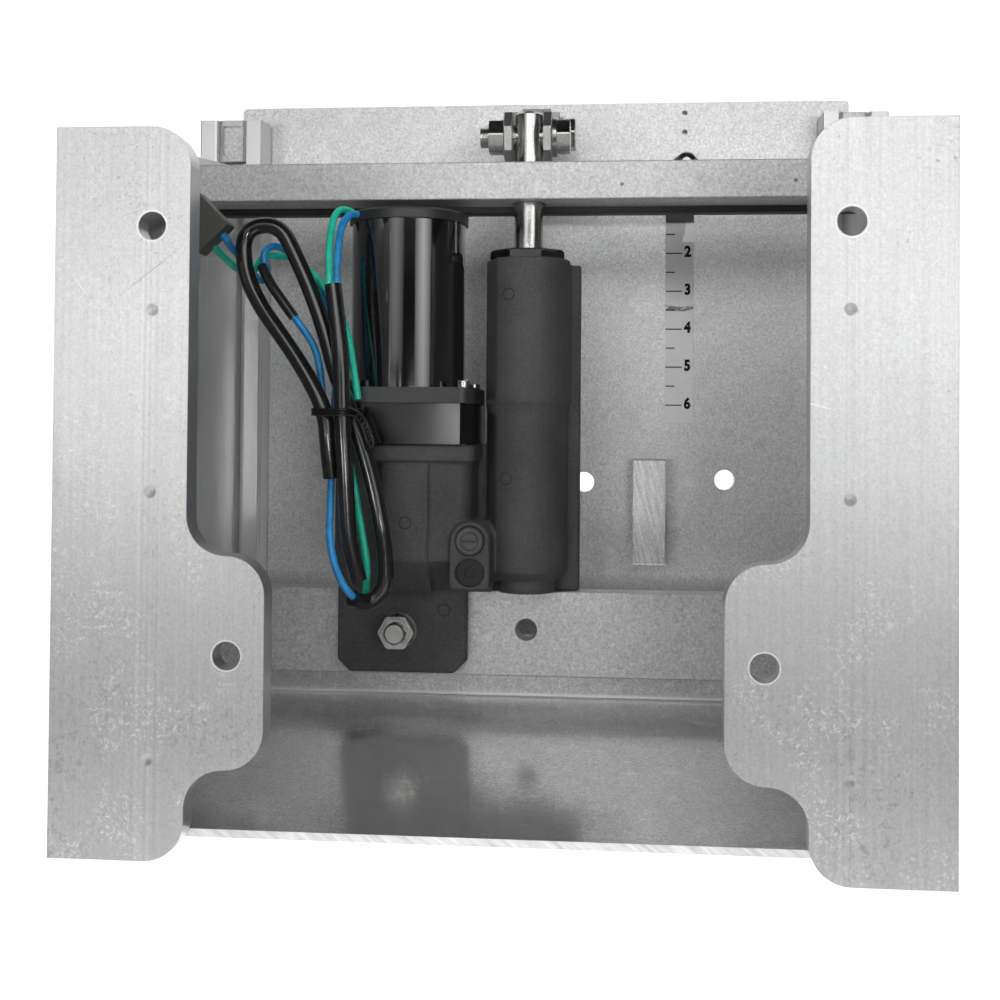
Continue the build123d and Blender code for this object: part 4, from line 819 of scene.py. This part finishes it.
# Floor: dark colour (0.10) in front of the object, out of view. Its glow is painted light: emission ramps up from
# y=-0.26 to -0.17 so the floor under and behind the object lights it like a lamp, and camera rays alone get extra glow
# so the floor looks white.
fm.color(fm.mix(fm.mrange(fm.sep()[1], -0.36, -0.26, 0.0, 1.0), (0.10, 0.10, 0.10), fa))
fy = fm.mrange(fm.sep()[1], -0.26, -0.17, 0.0, 0.66)
lp = fm.n.new("ShaderNodeLightPath")
shown = fm.math("MULTIPLY", fm.mrange(fm.sep()[1], -0.26, -0.12, 0.90, 0.15), lp.outputs["Is Camera Ray"])
fm.l.new(fm.math("ADD", fy, shown), fm.b.inputs["Emission Strength"])
fm.set(Roughness=0.7, Emission_Color=(1.0, 1.0, 1.0, 1.0))
M["floor"] = fm.done()
bm = bmesh.new()
FZ = cad_box[0][2] if cad_box[0][2] < -0.2 else -0.3006
prof = []
for y in (-4.0, -2.0, 0.0, 1.6):
    prof.append((y, FZ))
for k in range(1, 17):
    a = math.radians(90 * k / 16)
    prof.append((1.6 + 1.2 * math.sin(a), FZ + 1.2 * (1 - math.cos(a))))
prof.append((2.8, 6.0))
rows = []
for (y, z) in prof:
    rows.append([bm.verts.new((x, y, z)) for x in (-6.0, 6.0)])
for a, b in zip(rows, rows[1:]):
    bm.faces.new((a[0], a[1], b[1], b[0]))
me = bpy.data.meshes.new("floor")
bm.to_mesh(me)
bm.free()
for p in me.polygons:
    p.use_smooth = True
floor = bpy.data.objects.new("floor", me)
S.collection.objects.link(floor)
put(floor, "floor")

w = bpy.data.worlds.new("world")
S.world = w
w.use_nodes = True
bg = w.node_tree.nodes["Background"]
bg.inputs[0].default_value = (0.97, 0.98, 1.0, 1)
wn = w.node_tree.nodes
wl = wn.new("ShaderNodeLightPath")
wm = wn.new("ShaderNodeMapRange")
wm.inputs["To Min"].default_value = 0.01
wm.inputs["To Max"].default_value = 0.95
w.node_tree.links.new(wl.outputs["Is Camera Ray"], wm.inputs["Value"])
w.node_tree.links.new(wm.outputs["Result"], bg.inputs[1])


def area(name, loc, target, size, power, sy=None, spread=180, color=(1, 1, 1)):
    ld = bpy.data.lights.new(name, "AREA")
    ld.energy = power
    ld.spread = math.radians(spread)
    ld.color = color
    ld.size = size
    if sy:
        ld.shape = "RECTANGLE"
        ld.size_y = sy
    ob = bpy.data.objects.new(name, ld)
    S.collection.objects.link(ob)
    ob.location = loc
    d = Vector(target) - Vector(loc)
    ob.rotation_euler = d.to_track_quat("-Z", "Y").to_euler()
    return ob


area("window_right", (1.285, -1.56, 0.4), (-0.069, 0.175, 0.05), 1.3, 0.45, 1.0, 40)
area("window_left", (-0.71, -1.93, 0.55), (-0.069, 0.175, 0.05), 1.3, 0.22, 1.0, 40)
area("strip_low", (-0.34, -2.4, -0.12), (-0.06, 0.14, -0.09), 0.15, 0.75, 0.26, 180)
area("key_top", (0.1, -0.85, 0.42), (0.0, 0.1, 0.08), 0.7, 0.62, 0.4, 100)
area("key_right", (0.75, -2.0, -0.15), (0.18, 0.1, 0.19), 0.8, 0.38, 0.14, 30)
area("key_left", (-0.95, -2.0, -0.15), (-0.18, 0.1, 0.19), 0.6, 0.27, 0.14, 30)
area("top_fill", (0.0, -0.15, 1.2), (0.0, 0.1, -0.28), 0.3, 0.16, 0.2, 20).visible_glossy = False
area("backdrop", (0.0, 0.9, 1.6), (0.0, 2.8, 0.4), 3.0, 10.0, 1.4, 180)

S.view_settings.view_transform = "Standard"
S.view_settings.look = "None"
S.view_settings.exposure = 0.0
